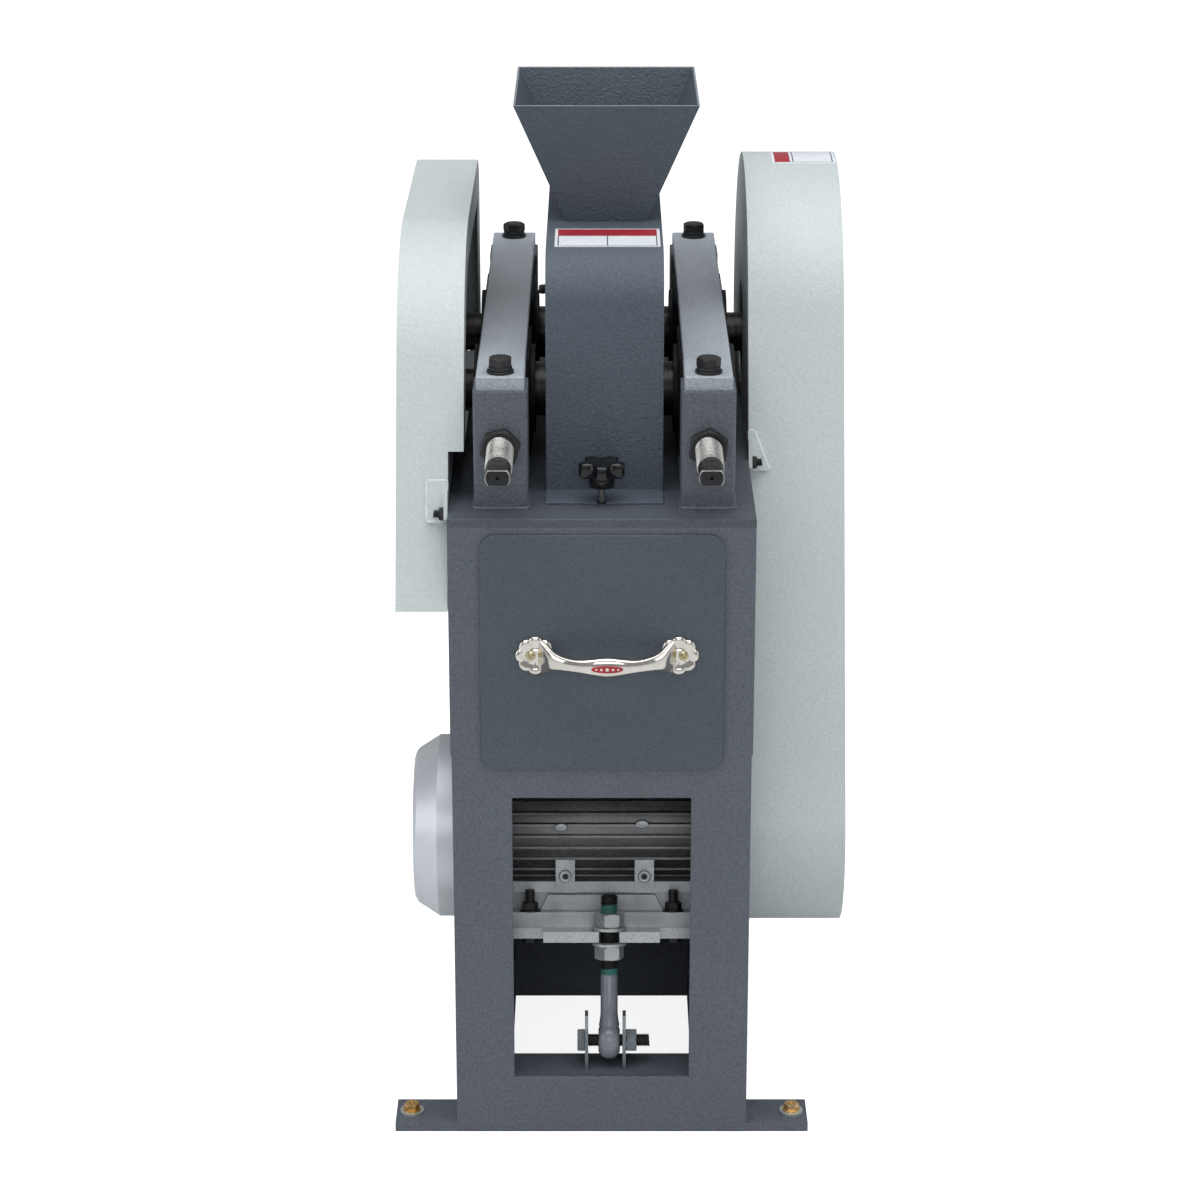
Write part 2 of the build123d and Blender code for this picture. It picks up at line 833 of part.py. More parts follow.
def belt_guard_back():
    plate = along_x(guard_face(belt_guard_sheet), guard_back_x, guard_back_x + belt_guard_sheet)
    reach = guard_back_x + belt_guard_sheet
    plate -= bar_x(shaft_hole_radius, guard_back_x, reach, rear_y, shaft_height)
    return plate - bar_x(motor_shaft_hole, guard_back_x, reach, motor_y, motor_z)


def groove_centres():
    middle = pulley_x + pulley_width / 2
    return [middle - groove_pitch / 2, middle + groove_pitch / 2]


def pulley(y, z, radius, bore, hub_radius, web):
    body = bar_x(radius, pulley_x, pulley_x + pulley_width, y, z)
    slope = math.tan(math.radians(groove_angle))
    deep = groove_width / 2 - groove_depth * slope
    wide = groove_width / 2 + slope
    for x in groove_centres():
        section = Polygon((x - wide, radius + 1), (x + wide, radius + 1), (x + deep, radius - groove_depth),
                          (x - deep, radius - groove_depth), align=None)
        ring = revolve(Plane.XY * section, Axis.X)
        body -= Pos(0, y, z) * ring
    if web:
        dish = Circle(radius - groove_depth - 8) - Circle(hub_radius)
        depth = (pulley_width - web) / 2
        plane = Pos(0, y, z)
        body -= plane * along_x(dish, pulley_x, pulley_x + depth)
        body -= plane * along_x(dish, pulley_x + pulley_width - depth, pulley_x + pulley_width)
        ring_middle = (radius - groove_depth - 8 + hub_radius) / 2
        for spot in PolarLocations(ring_middle, 5):
            hole = spot * Circle((radius - groove_depth - 8 - hub_radius) * 0.36)
            body -= plane * along_x(hole, pulley_x, pulley_x + pulley_width)
    return body - bar_x(bore + fit_gap, pulley_x, pulley_x + pulley_width, y, z)


def belt_outline(sink):
    edges = tangent_outline(rear_y, shaft_height, big_pulley_radius - sink, motor_y, motor_z,
                            small_pulley_radius - sink)
    return make_face(edges)


def belt(x):
    half = belt_width / 2
    narrow = half - belt_height * math.tan(math.radians(groove_angle))
    deep = belt_sink + belt_height
    band = along_x(belt_outline(belt_sink), x - half, x + half)
    band -= along_x(belt_outline(deep), x - half, x + half)
    for side in (-1, 1):
        wide_end = Plane.YZ.offset(x + side * half) * belt_outline(belt_sink + belt_land)
        narrow_end = Plane.YZ.offset(x + side * narrow) * belt_outline(deep)
        band -= loft([wide_end, narrow_end])
    return band


def guard_lug(outline, y, z, lean):
    """A plate welded on a guard's front, its tab against the cabinet and a bolt in the tab."""
    place = Pos(half_width, y, z) * Rot(lean, 0, 0)
    face = Plane.XZ * outline
    plate = extrude(face, lug_sheet, dir=(0, -1, 0))
    tab = block(0, seat_gap + lug_sheet, -lug_tab, 0, -lug_height / 2, lug_height / 4)
    at_bolt = Pos(seat_gap + lug_sheet, -lug_tab * 0.6, -lug_height / 3)
    bolt = at_bolt * Rot(0, 90, 0) * hex_prism(lug_bolt_size, lug_bolt_height)
    return place * (plate + tab), place * bolt


def belt_guard_lug():
    z = cabinet_top + lug_lift
    lean = math.pi / 2 - math.atan2(shaft_height - belt_guard_low_z, rear_y - belt_guard_low_y)
    span = math.hypot(shaft_height - belt_guard_low_z, rear_y - belt_guard_low_y)
    lean -= math.asin((belt_guard_radius - belt_guard_low_radius) / span)
    reach = belt_guard_radius + (shaft_height - z) * math.sin(lean)
    y = rear_y - reach / math.cos(lean)
    half = lug_height / 2
    outline = Polygon((0, -half), (lug_width, -half), (lug_width * 0.3, half), (0, half), align=None)
    return guard_lug(outline, y, z, math.degrees(-lean))


def gear_guard_lug():
    z = cabinet_top + lug_lift
    lean = math.radians(gear_guard_lean)
    y = gear_guard_front + (z - gear_guard_bottom) * math.tan(lean)
    outline = Pos(lug_width / 2, 0) * Rectangle(lug_width, lug_height)
    lug, bolt = guard_lug(outline, y, z, -gear_guard_lean)
    return mirrored(lug), mirrored(bolt)


# Gear guard

def gear_guard_points(inset):
    lean = math.radians(gear_guard_lean)
    radius = gear_guard_arc - inset
    top = gear_guard_top - inset
    bottom = gear_guard_bottom + inset
    centre_z = gear_guard_top - gear_guard_arc
    reach = gear_guard_arc + (centre_z - gear_guard_bottom) * math.sin(lean)
    centre_y = gear_guard_front + reach / math.cos(lean)
    start = (centre_y - radius * math.cos(lean), centre_z + radius * math.sin(lean))
    middle_angle = (math.pi - lean + math.pi / 2) / 2
    middle = (centre_y + radius * math.cos(middle_angle), centre_z + radius * math.sin(middle_angle))
    end = (centre_y, top)
    foot = (start[0] - (start[1] - bottom) * math.tan(lean), bottom)
    rear = gear_guard_rear - inset
    corner_y = gear_guard_rear - gear_guard_rear_arc
    corner_z = gear_guard_top - gear_guard_rear_arc
    small = gear_guard_rear_arc - inset
    mid_corner = (corner_y + small * math.cos(math.pi / 4), corner_z + small * math.sin(math.pi / 4))
    return [Line(foot, start), ThreePointArc(start, middle, end), Line(end, (corner_y, top)),
            ThreePointArc((corner_y, top), mid_corner, (rear, corner_z)),
            Line((rear, corner_z), (rear, bottom)), Line((rear, bottom), foot)]


def shaft_room(radius, x0, x1):
    """Room for both shafts in a cover, with the travel of the front one."""
    found = [block(x0, x1, front_y - gap_travel, front_y, shaft_height - radius, shaft_height + radius)]
    for y in (front_y - gap_travel, front_y, rear_y):
        found.append(bar_x(radius, x0, x1, y, shaft_height))
    return found


def gear_guard():
    lower_inner = -guard_back_x
    outside = along_x(make_face(gear_guard_points(0)), gear_guard_outer, gear_guard_inner)
    outside -= block(lower_inner, 0, -cabinet_depth, half_depth, 0, gear_guard_notch)
    hollow = along_x(make_face(gear_guard_points(guard_sheet)), gear_guard_outer + guard_sheet,
                     gear_guard_inner - guard_sheet)
    hollow -= block(lower_inner - guard_sheet, 0, -cabinet_depth, half_depth, 0,
                    gear_guard_notch + guard_sheet)
    window = along_x(make_face(gear_guard_points(gear_guard_border)), gear_guard_inner - guard_sheet,
                     gear_guard_inner)
    window -= block(gear_guard_outer, 0, -cabinet_depth, half_depth, 0, gear_guard_notch + guard_sheet)
    guard = outside - hollow - window
    reach = gear_end_radius + shaft_slot_gap
    for room in shaft_room(reach, lower_inner - 2 * guard_sheet, gear_guard_inner):
        guard -= room
    return guard


# Motor, in its own frame: axis along X at the origin, foot plane below

def tilted(item):
    return Pos(0, motor_y, motor_z) * Rot(-motor_tilt, 0, 0) * item


def stator():
    section = Circle(motor_core)
    for i in range(-fins_each_way, fins_each_way + 1):
        place = i * fin_pitch
        section += Pos(0, place) * Rectangle(2 * motor_fin_radius, fin_thickness)
        section += Pos(place, 0) * Rectangle(fin_thickness, 2 * motor_fin_radius)
    section = section & Circle(motor_fin_radius)
    housing = along_x(section, motor_left, motor_right)
    return tilted(housing - bar_x(motor_shaft_radius + fit_gap, motor_left, motor_right, 0, 0))


def endshields():
    half = endshield_length
    right = bar_x(motor_fin_radius - 3, motor_right, motor_right + half * 0.4, 0, 0)
    taper = Plane.YZ.offset(motor_right + half * 0.4) * Circle(motor_fin_radius - 3)
    nose = Plane.YZ.offset(motor_right + half) * Circle(endshield_nose)
    right += loft([taper, nose])
    end = motor_right + half + endshield_boss_length
    right += bar_x(endshield_boss, motor_right + half, end, 0, 0)
    right -= bar_x(motor_shaft_radius + fit_gap, motor_right, end, 0, 0)
    left = bar_x(motor_fin_radius - 1, motor_left - half, motor_left, 0, 0)
    left -= bar_x(motor_shaft_radius + fit_gap, motor_left - half, motor_left, 0, 0)
    return [tilted(right), tilted(left)]


def fan_cover():
    start = motor_left - endshield_length + 3
    profile = [(start, 0), (start, fan_cover_radius), (-fan_cover_edge, fan_cover_radius),
               (-fan_cover_end + 3, fan_cover_nose), (-fan_cover_end, fan_cover_nose - 5),
               (-fan_cover_end, 0)]
    inside = [(start, 0), (start, fan_cover_radius - fan_cover_wall),
              (-fan_cover_edge, fan_cover_radius - fan_cover_wall),
              (-fan_cover_end + 4, fan_cover_nose - fan_cover_wall), (-fan_cover_end + fan_cover_wall,
              fan_cover_nose - 5 - fan_cover_wall), (-fan_cover_end + fan_cover_wall, 0)]
    cover = revolve(make_face(Polyline(*profile, close=True)), Axis.X)
    cover -= revolve(make_face(Polyline(*inside, close=True)), Axis.X)
    rim = bar_x(fan_cover_radius - fan_cover_wall / 2, start - 3, start, 0, 0)
    cover += rim - bar_x(motor_fin_radius - 1 + fit_gap, start - 3, start, 0, 0)
    for ring in cover_slots:
        slot = Circle(ring + cover_slot_width / 2) - Circle(ring - cover_slot_width / 2)
        for turn in (0, 90):
            slot -= Rot(0, 0, turn) * Rectangle(2 * fan_cover_radius, cover_spoke)
        cover -= along_x(slot, -fan_cover_end - 1, -fan_cover_end + fan_cover_wall + 1)
    return tilted(cover)


def rotor_shaft():
    left = -fan_cover_end + fan_end_gap
    shaft = bar_x(motor_shaft_radius, left, motor_shaft_end, 0, 0)
    ends = shaft.edges().filter_by(GeomType.CIRCLE)
    return tilted(chamfer(ends, 1))


def fan():
    x1 = motor_left - endshield_length - fan_gap
    x0 = x1 - fan_length
    hub = bar_x(fan_hub_radius, x0, x1, 0, 0) + bar_x(fan_disc_radius, x1 - fan_sheet, x1, 0, 0)
    root = fan_hub_radius - fan_sheet
    blade = block(x0, x1 - fan_sheet, -fan_sheet / 2, fan_sheet / 2, root, fan_blade_reach)
    for i in range(fan_blades):
        hub += Rot(360 / fan_blades * i, 0, 0) * blade
    return tilted(hub - bar_x(motor_shaft_radius + fit_gap, x0, x1, 0, 0))


def motor_feet():
    half = foot_length / 2
    flange_top = plate_top + foot_flange
    back = foot_web - foot_flange
    profile = Polygon((-foot_front, plate_top), (-foot_front, flange_top), (-foot_web, flange_top),
                      (-foot_web, -foot_band_low), (-foot_band, -foot_band_low),
                      (-foot_band, -foot_band_high), (-back, -foot_band_high), (-back, plate_top),
                      align=None)
    foot = along_x(profile, -half, half)
    low_half = foot_block_half + foot_flange / 2
    face = Polygon((-low_half, flange_top), (low_half, flange_top), (foot_block_half, -foot_block_top),
                   (-foot_block_half, -foot_block_top), align=None)
    foot += Pos(0, -back, 0) * extrude(Plane.XZ * face, foot_block - back, dir=(0, -1, 0))
    hole = foot_bolt_size / 3 + fit_gap
    feet = []
    for x in (-foot_bolt_x, foot_bolt_x):
        foot -= bar_z(hole, plate_top, flange_top, x, -foot_bolt_v)
    foot -= bar_x(motor_fin_radius + fin_gap, -half, half, 0, 0)
    feet.append(tilted(foot))
    feet.append(tilted(mirror(foot, Plane.XZ)))
    return feet


def foot_pads():
    found = []
    half = pad_width / 2
    middle = -(pad_low + pad_high) / 2
    front = -pad_front - pad_screw_height
    for side in (-1, 1):
        x = side * pad_spacing / 2 + pad_offset
        pad = block(x - half, x + half, -pad_front, -pad_front + pad_depth, -pad_low, -pad_high)
        pad -= bar_x(motor_fin_radius + fin_gap, x - pad_width, x + pad_width, 0, 0)
        pad -= block(x - pad_width, x + pad_width, -foot_band, 0, -pad_low, -foot_band_high)
        pad += bar_y(pad_screw_radius, front, -pad_front, x, middle)
        pad -= bar_y(pad_socket_radius, front, -pad_front, x, middle)
        found.append(tilted(pad))
        found.append(tilted(mirror(pad, Plane.XZ)))
    return found


def foot_bolts():
    found = []
    low = plate_top + foot_flange
    head_low = plate_bottom - foot_head_height
    for x in (-foot_bolt_x, foot_bolt_x):
        for v in (-foot_bolt_v, foot_bolt_v):
            nut = Pos(x, v, low + foot_washer) * hex_prism(foot_bolt_size, foot_nut_height)
            nut += bar_z(foot_bolt_size * 0.75, low, low + foot_washer, x, v)
            nut += bar_z(foot_bolt_size / 3, head_low, low + foot_bolt_end, x, v)
            nut += Pos(x, v, head_low) * hex_prism(foot_bolt_size, foot_head_height)
            found.append(tilted(nut))
    return found


def motor_plate():
    half = plate_width / 2
    body = block(-half, half, -plate_front, plate_rear, plate_bottom, plate_top)
    body += block(-plate_tab_width / 2, plate_tab_width / 2, -plate_tab_front, -plate_front, plate_bottom,
                  plate_top)
    barrel_half = hinge_length / 2
    middle = plate_top - plate_thickness / 2
    body += block(-barrel_half, barrel_half, plate_rear, hinge_v, plate_bottom, plate_top)
    body += bar_x(hinge_radius, -barrel_half, barrel_half, hinge_v, middle)
    body -= bar_x(hinge_pin_radius + fit_gap, -barrel_half, barrel_half, hinge_v, middle)
    hole = foot_bolt_size / 3 + fit_gap
    for x in (-foot_bolt_x, foot_bolt_x):
        for v in (-foot_bolt_v, foot_bolt_v):
            body -= bar_z(hole, plate_bottom, plate_top, x, v)
    rod_v, rod_n = rod_place()
    notch = rod_radius + 1.5
    body -= bar_z(notch, plate_bottom, plate_top, eye_x, rod_v)
    body -= block(eye_x - notch, eye_x + notch, -plate_tab_front, rod_v, plate_bottom, plate_top)
    return tilted(body)


def terminal_box():
    x0 = -terminal_length / 2 + 20
    v0 = motor_core - 2
    body = block(x0, x0 + terminal_length, v0, v0 + terminal_depth, -20, -20 + terminal_height)
    body = chamfer(body.edges().filter_by(Axis.Y), 4)
    gap = bar_x(motor_fin_radius + fin_gap, x0, x0 + terminal_length, 0, 0)
    lid = block(x0 - 2, x0 + terminal_length + 2, v0 + terminal_depth, v0 + terminal_depth + 6, -22,
                -18 + terminal_height)
    lid = chamfer(lid.edges().filter_by(Axis.Y), 4)
    return [tilted(body - gap), tilted(lid)]


# Tension eye bolt, in the motor's tilted frame

def rod_place():
    tilt = math.radians(motor_tilt)
    dy = eye_y - motor_y
    dz = eye_z - motor_z
    v = dy * math.cos(tilt) - dz * math.sin(tilt)
    n = dy * math.sin(tilt) + dz * math.cos(tilt)
    return v, n


def eye_bolt():
    v, n = rod_place()
    rod = bar_z(rod_radius, n, n + rod_length, eye_x, v)
    rod = chamfer(rod.edges().group_by(Axis.Z)[-1], 1.5)
    eye = bar_x(eye_radius, eye_x - eye_width / 2, eye_x + eye_width / 2, v, n)
    eye = fillet(eye.edges().filter_by(GeomType.CIRCLE), eye_round)
    body = rod + eye
    return tilted(body - bar_x(clevis_radius + fit_gap, eye_x - eye_width, eye_x + eye_width, v, n))


def tension_nuts():
    v, n = rod_place()
    hole = rod_radius + fit_gap
    above = plate_top + tension_gap
    below = plate_bottom - tension_gap - washer_thickness
    found = []
    for low in (above, below):
        found.append(tilted(ring_z(washer_radius, hole, low, low + washer_thickness, eye_x, v)))
    for low in (above + washer_thickness, below - nut_thickness):
        nut = Pos(eye_x, v, low) * hex_prism(nut_size, nut_thickness)
        found.append(tilted(nut - bar_z(hole, low, low + nut_thickness, eye_x, v)))
    return found


def sill_ears():
    found = []
    for x in (ear_left, ear_right):
        half = ear_thickness / 2
        ear = block(x - half, x + half, eye_y - ear_depth / 2, eye_y + ear_depth / 2, rail_height,
                    rail_height + ear_height)
        top = ear.edges().filter_by(Axis.X).group_by(Axis.Z)[-1]
        ear = chamfer(top, 9)
        found.append(ear - bar_x(clevis_radius + fit_gap, x - half, x + half, eye_y, eye_z))
    return found


def clevis_bolt():
    left = ear_left - ear_thickness / 2
    right = ear_right + ear_thickness / 2
    shank = bar_x(clevis_radius, left, clevis_end, eye_y, eye_z)
    head = Pos(left, eye_y, eye_z) * Rot(0, -90, 0) * hex_prism(clevis_head_size, clevis_head_height)
    nut = Pos(right, eye_y, eye_z) * Rot(0, 90, 0) * hex_prism(clevis_head_size, 10)
    nut -= bar_x(clevis_radius + fit_gap, right, right + 10, eye_y, eye_z)
    return [shank + head, nut]


# Casing, hopper and knob

def casing_outline(inset):
    y = casing_front - inset
    top = casing_top - inset
    r = casing_bend - inset
    mid = r * (1 - math.cos(math.pi / 4))
    return [Line((-y, cabinet_top), (-y, top - r)),
            ThreePointArc((-y, top - r), (-y + mid, top - mid), (-y + r, top)),
            Line((-y + r, top), (y - r, top)),
            ThreePointArc((y - r, top), (y - mid, top - mid), (y, top - r)),
            Line((y, top - r), (y, cabinet_top)), Line((y, cabinet_top), (-y, cabinet_top))]


def casing():
    half = casing_width / 2
    shell = along_x(make_face(casing_outline(0)), -half, half)
    shell -= along_x(make_face(casing_outline(casing_sheet)), casing_sheet - half, half - casing_sheet)
    flange = block(-half, half, -casing_front - casing_flange, -casing_front, cabinet_top,
                   cabinet_top + casing_sheet)
    for item in front_and_rear(flange):
        shell += item
    slot = stud_radius + 1
    slot_cut = bar_z(slot, cabinet_top, cabinet_top + casing_sheet, -casing_x, -knob_reach)
    slot_cut += block(-casing_x - slot, -casing_x + slot, -casing_front - casing_flange, -knob_reach,
                      cabinet_top, cabinet_top + casing_sheet)
    for item in front_and_rear(slot_cut):
        shell -= item
    shell = Pos(casing_x, roll_middle_y, 0) * shell
    reach = shaft_radius + shaft_slot_gap
    left = casing_x - half
    right = casing_x + half
    for room in shaft_room(reach, left, right):
        shell -= room
    for low, high in ((front_y - gap_travel, front_y), (rear_y, rear_y)):
        shell -= block(left, right, low - reach, high + reach, cabinet_top, shaft_height)
    inner_width = throat_width / 2 - hopper_wall
    inner_length = throat_length / 2 - hopper_wall
    return shell - block(hopper_x - inner_width, hopper_x + inner_width, hopper_y - inner_length,
                         hopper_y + inner_length, casing_top - casing_sheet, casing_top)


def hopper():
    def skin(inset, low, high):
        bottom = Plane.XY.offset(low) * Rectangle(throat_width - 2 * inset, throat_length - 2 * inset)
        top = Plane.XY.offset(high) * Rectangle(hopper_width - 2 * inset, hopper_length - 2 * inset)
        return loft([bottom, top])
    outside = skin(0, casing_top, hopper_top)
    inside = skin(hopper_wall, casing_top, hopper_top)
    return Pos(hopper_x, hopper_y, 0) * (outside - inside)


def knob():
    star = Circle(knob_radius)
    first_hollow = 90 - 360 / knob_lobes
    for spot in PolarLocations(knob_radius + knob_scallop / 4, knob_lobes, first_hollow):
        star -= spot * Circle(knob_scallop)
    head = extrude(star, knob_height)
    head = chamfer(head.faces().sort_by(Axis.Z)[-1].edges(), 1.2)
    hub = bar_z(knob_hub_radius, knob_foot, knob_shoulder + 1, 0, knob_y)
    body = Pos(0, knob_y, knob_shoulder) * head + hub
    hole = bar_z(stud_radius + fit_gap, knob_foot, cabinet_top + stud_length, 0, knob_y)
    return body - hole


def knob_stud():
    stud = bar_z(stud_radius, cabinet_top, cabinet_top + stud_length - 1, 0, knob_y)
    return chamfer(stud.edges().group_by(Axis.Z)[-1], 0.8)


def rear_casing_bolt():
    top = cabinet_top + casing_sheet
    bolt = hex_bolt(13, 5.5, stud_radius, casing_sheet)
    return Pos(0, roll_middle_y + knob_reach, top) * (bolt + Pos(0, 0, 0.5) * Cylinder(9, 1))


def casing_side_screw():
    left = casing_x - casing_width / 2
    return bar_x(side_screw_radius, left - side_screw_length, left, side_screw_y, side_screw_z)


def main():
    save("base_rails", *base_rails())
    save("foot_tabs", *foot_tabs())
    bolts, washers = tab_bolts()
    save("tab_bolts", *bolts)
    save("tab_washers", *washers)
    save("lower_front_plate", lower_front_plate())
    save("rear_plates", *rear_plates())
    save("left_side_plate", left_side_plate())
    save("right_side_plate", right_side_plate())
    save("upper_side_plates", *upper_side_plates())
    save("upper_front_plate", upper_end_plate() - drawer_opening())
    save("deck_plate", deck_plate())
    save("drawer_shelf", drawer_shelf(), *drawer_guides())
    beam, ears = hinge_beam()
    save("hinge_beam", beam, *ears)
    save("hinge_pin", hinge_pin())
    save("drawer_front", drawer_front())
    save("drawer_box", drawer_box())
    save("drawer_handle", handle())
    save("handle_oval", handle_oval())
    save("handle_screws", *handle_screws())
    save("bearing_stands", *bearing_posts(), *bearing_beds())
    save("clamp_bars", *clamp_bars())
    bolts, washers = clamp_bolts()
    save("clamp_bolts", *bolts, *washers)
    blocks, rings, covers = carriage_pieces(-pitch_radius)
    save("front_blocks", *blocks)
    save("front_bearings", *rings, *covers)
    blocks, rings, covers = carriage_pieces(pitch_radius)
    save("rear_blocks", *blocks)
    save("rear_bearings", *rings, *covers)
    save("front_screws", *both_stands(gap_screw(front_screw_end)))
    save("rear_screws", *both_stands(mirror(gap_screw(rear_screw_end), Plane.XZ)))
    nuts = []
    for nut in front_and_rear(lock_nut()):
        nuts.extend(both_stands(nut))
    save("lock_nuts", *nuts)
    save("front_roller", roller(front_y))
    save("rear_roller", roller(rear_y))
    save("front_shaft", step_shaft(front_y, 0, drive_end_radius))
    save("rear_shaft", step_shaft(rear_y, pulley_x + pulley_width + shaft_stub, drive_end_radius))
    save("front_gear", gear(front_y, math.pi / gear_teeth))
    save("rear_gear", gear(rear_y, 0))
    save("big_pulley", pulley(rear_y, shaft_height, big_pulley_radius, drive_end_radius, 34, 12))
    save("motor_pulley", pulley(motor_y, motor_z, small_pulley_radius, motor_shaft_radius, 0, 0))
    save("drive_belts", *[belt(x) for x in groove_centres()])
    save("belt_guard", belt_guard())
    save("belt_guard_back", belt_guard_back())
    save("gear_guard", gear_guard())
    lugs = [belt_guard_lug(), gear_guard_lug()]
    save("guard_lugs", *[lug for lug, bolt in lugs])
    save("guard_bolts", *[bolt for lug, bolt in lugs])
    save("motor_housing", stator(), *endshields())
    save("motor_feet", *motor_feet(), *foot_pads())
    save("motor_bolts", *foot_bolts())
    save("motor_plate", motor_plate())
    save("fan_cover", fan_cover())
    save("fan", fan())
    save("rotor_shaft", rotor_shaft())
    save("terminal_box", *terminal_box())
    save("eye_bolt", eye_bolt())
    save("tension_nuts", *tension_nuts())
    save("sill_ears", *sill_ears())
    save("clevis_bolt", *clevis_bolt())
    save("casing", casing())
    save("hopper", hopper())
    save("knob", knob())
    save("casing_screws", knob_stud(), rear_casing_bolt(), casing_side_screw())


main()
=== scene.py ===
# %% [markdown]
# A roller crusher: grain falls from the hopper between two rollers and drops, crushed, into a
# drawer. The imported model is the frame that everything sits on. It comes in metres, with one
# object for each piece and one empty for each body that moves.
# %% Load the frame
import bmesh
import bpy
import json
import math
import random
from mathutils import Matrix, Vector

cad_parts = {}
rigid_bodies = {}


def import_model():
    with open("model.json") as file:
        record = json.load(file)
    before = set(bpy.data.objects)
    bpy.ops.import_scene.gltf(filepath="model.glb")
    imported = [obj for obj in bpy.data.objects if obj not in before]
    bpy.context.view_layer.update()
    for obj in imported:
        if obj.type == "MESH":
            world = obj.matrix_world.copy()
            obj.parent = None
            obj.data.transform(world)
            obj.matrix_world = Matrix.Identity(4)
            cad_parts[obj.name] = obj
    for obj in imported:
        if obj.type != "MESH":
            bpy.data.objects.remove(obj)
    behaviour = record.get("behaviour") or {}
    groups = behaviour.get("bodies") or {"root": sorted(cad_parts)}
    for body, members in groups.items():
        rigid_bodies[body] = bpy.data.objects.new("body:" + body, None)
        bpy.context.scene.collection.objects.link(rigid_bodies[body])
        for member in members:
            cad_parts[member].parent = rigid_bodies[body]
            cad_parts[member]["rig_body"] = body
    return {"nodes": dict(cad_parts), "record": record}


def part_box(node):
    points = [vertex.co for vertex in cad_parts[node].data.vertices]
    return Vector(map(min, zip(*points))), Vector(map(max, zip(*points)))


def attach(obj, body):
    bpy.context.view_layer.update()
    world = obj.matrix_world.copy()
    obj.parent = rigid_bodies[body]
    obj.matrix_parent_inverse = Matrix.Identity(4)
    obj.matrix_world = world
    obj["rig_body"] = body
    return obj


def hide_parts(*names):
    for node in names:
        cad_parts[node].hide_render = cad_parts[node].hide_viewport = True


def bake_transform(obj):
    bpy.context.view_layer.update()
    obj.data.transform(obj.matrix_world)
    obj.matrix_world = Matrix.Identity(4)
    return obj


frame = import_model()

MM = 0.001
nodes = frame["nodes"]
slot_of = {part["node"]: part["material_slot"] for part in frame["record"]["subparts"]}
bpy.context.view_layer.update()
scene = bpy.context.scene
print("pieces in the frame:", len(nodes))

# %% [markdown]
# The camera stands about three metres in front of the machine, a little above the hopper, and
# looks down by nineteen degrees. A long lens keeps the upright edges nearly parallel. These
# values were worked out from the corners of the cabinet, so they are numbers and not a guess by
# eye.
# %% Place the camera
look_down = 19.44
camera_data = bpy.data.cameras.new("camera")
camera_data.lens = 102
camera_data.clip_start = 0.05
camera_data.clip_end = 60
camera = bpy.data.objects.new("camera", camera_data)
camera.location = (-0.0015, -3.112, 1.521)
camera.rotation_euler = (math.radians(90 - look_down), 0, 0)
scene.collection.objects.link(camera)
scene.camera = camera
scene.view_settings.view_transform = "Standard"
print("camera at", tuple(camera.location), "with a lens of", camera_data.lens)

# %% [markdown]
# A light, a paint or a metal is a small graph of nodes in Blender. Three helpers keep each graph
# short: one turns the hex colour of a paint chart into linear light, one adds a node with its
# settings and its links, and one gives an empty material to start from.
# %% Helpers for nodes and colour
def linear(code):
    """Turns a hex colour, as a paint chart gives it, into the linear values that a shader wants."""
    parts = [int(code[i:i + 2], 16) / 255 for i in (1, 3, 5)]
    return tuple(p / 12.92 if p <= 0.04045 else ((p + 0.055) / 1.055) ** 2.4
                 for p in parts) + (1.0,)


def add_node(tree, kind, inputs=None, **settings):
    """Adds one node. An input is given a plain value, or another node's socket to link from."""
    node = tree.nodes.new(kind)
    for name, value in settings.items():
        setattr(node, name, value)
    for name, value in (inputs or {}).items():
        if isinstance(value, bpy.types.NodeSocket):
            tree.links.new(value, node.inputs[name])
        else:
            node.inputs[name].default_value = value
    return node


def empty_material(name):
    material = bpy.data.materials.new(name)
    material.use_nodes = True
    material.node_tree.nodes.clear()
    return material, material.node_tree


print("middle grey is", round(linear("#808080")[0], 3), "in linear light")

# %% [markdown]
# Soft boxes light a machine like this one in a studio: a wide one above and in front gives the
# pale tops and the slow fade down the guards, and a weaker one at each side keeps the posts from
# going flat. The walls of the room are the world, which is white to the camera and dimmer as a
# light.
# %% Light the room
def seen_by_camera(tree):
    """One for a ray that the camera sends, also through something clear, and else nought."""
    path = add_node(tree, "ShaderNodeLightPath")
    return add_node(tree, "ShaderNodeMath", {0: path.outputs["Is Camera Ray"],
                                             1: path.outputs["Is Transmission Ray"]},
                    operation="MAXIMUM").outputs[0]


world = bpy.data.worlds.new("room")
world.use_nodes = True
scene.world = world
tree = world.node_tree
tree.nodes.clear()
dim = add_node(tree, "ShaderNodeBackground", {"Color": linear("#f4f7fa"), "Strength": 0.34})
white = add_node(tree, "ShaderNodeBackground", {"Color": linear("#ffffff"), "Strength": 1.0})
mixed = add_node(tree, "ShaderNodeMixShader", {0: seen_by_camera(tree), 1: dim.outputs[0],
                                               2: white.outputs[0]})
add_node(tree, "ShaderNodeOutputWorld", {"Surface": mixed.outputs[0]})

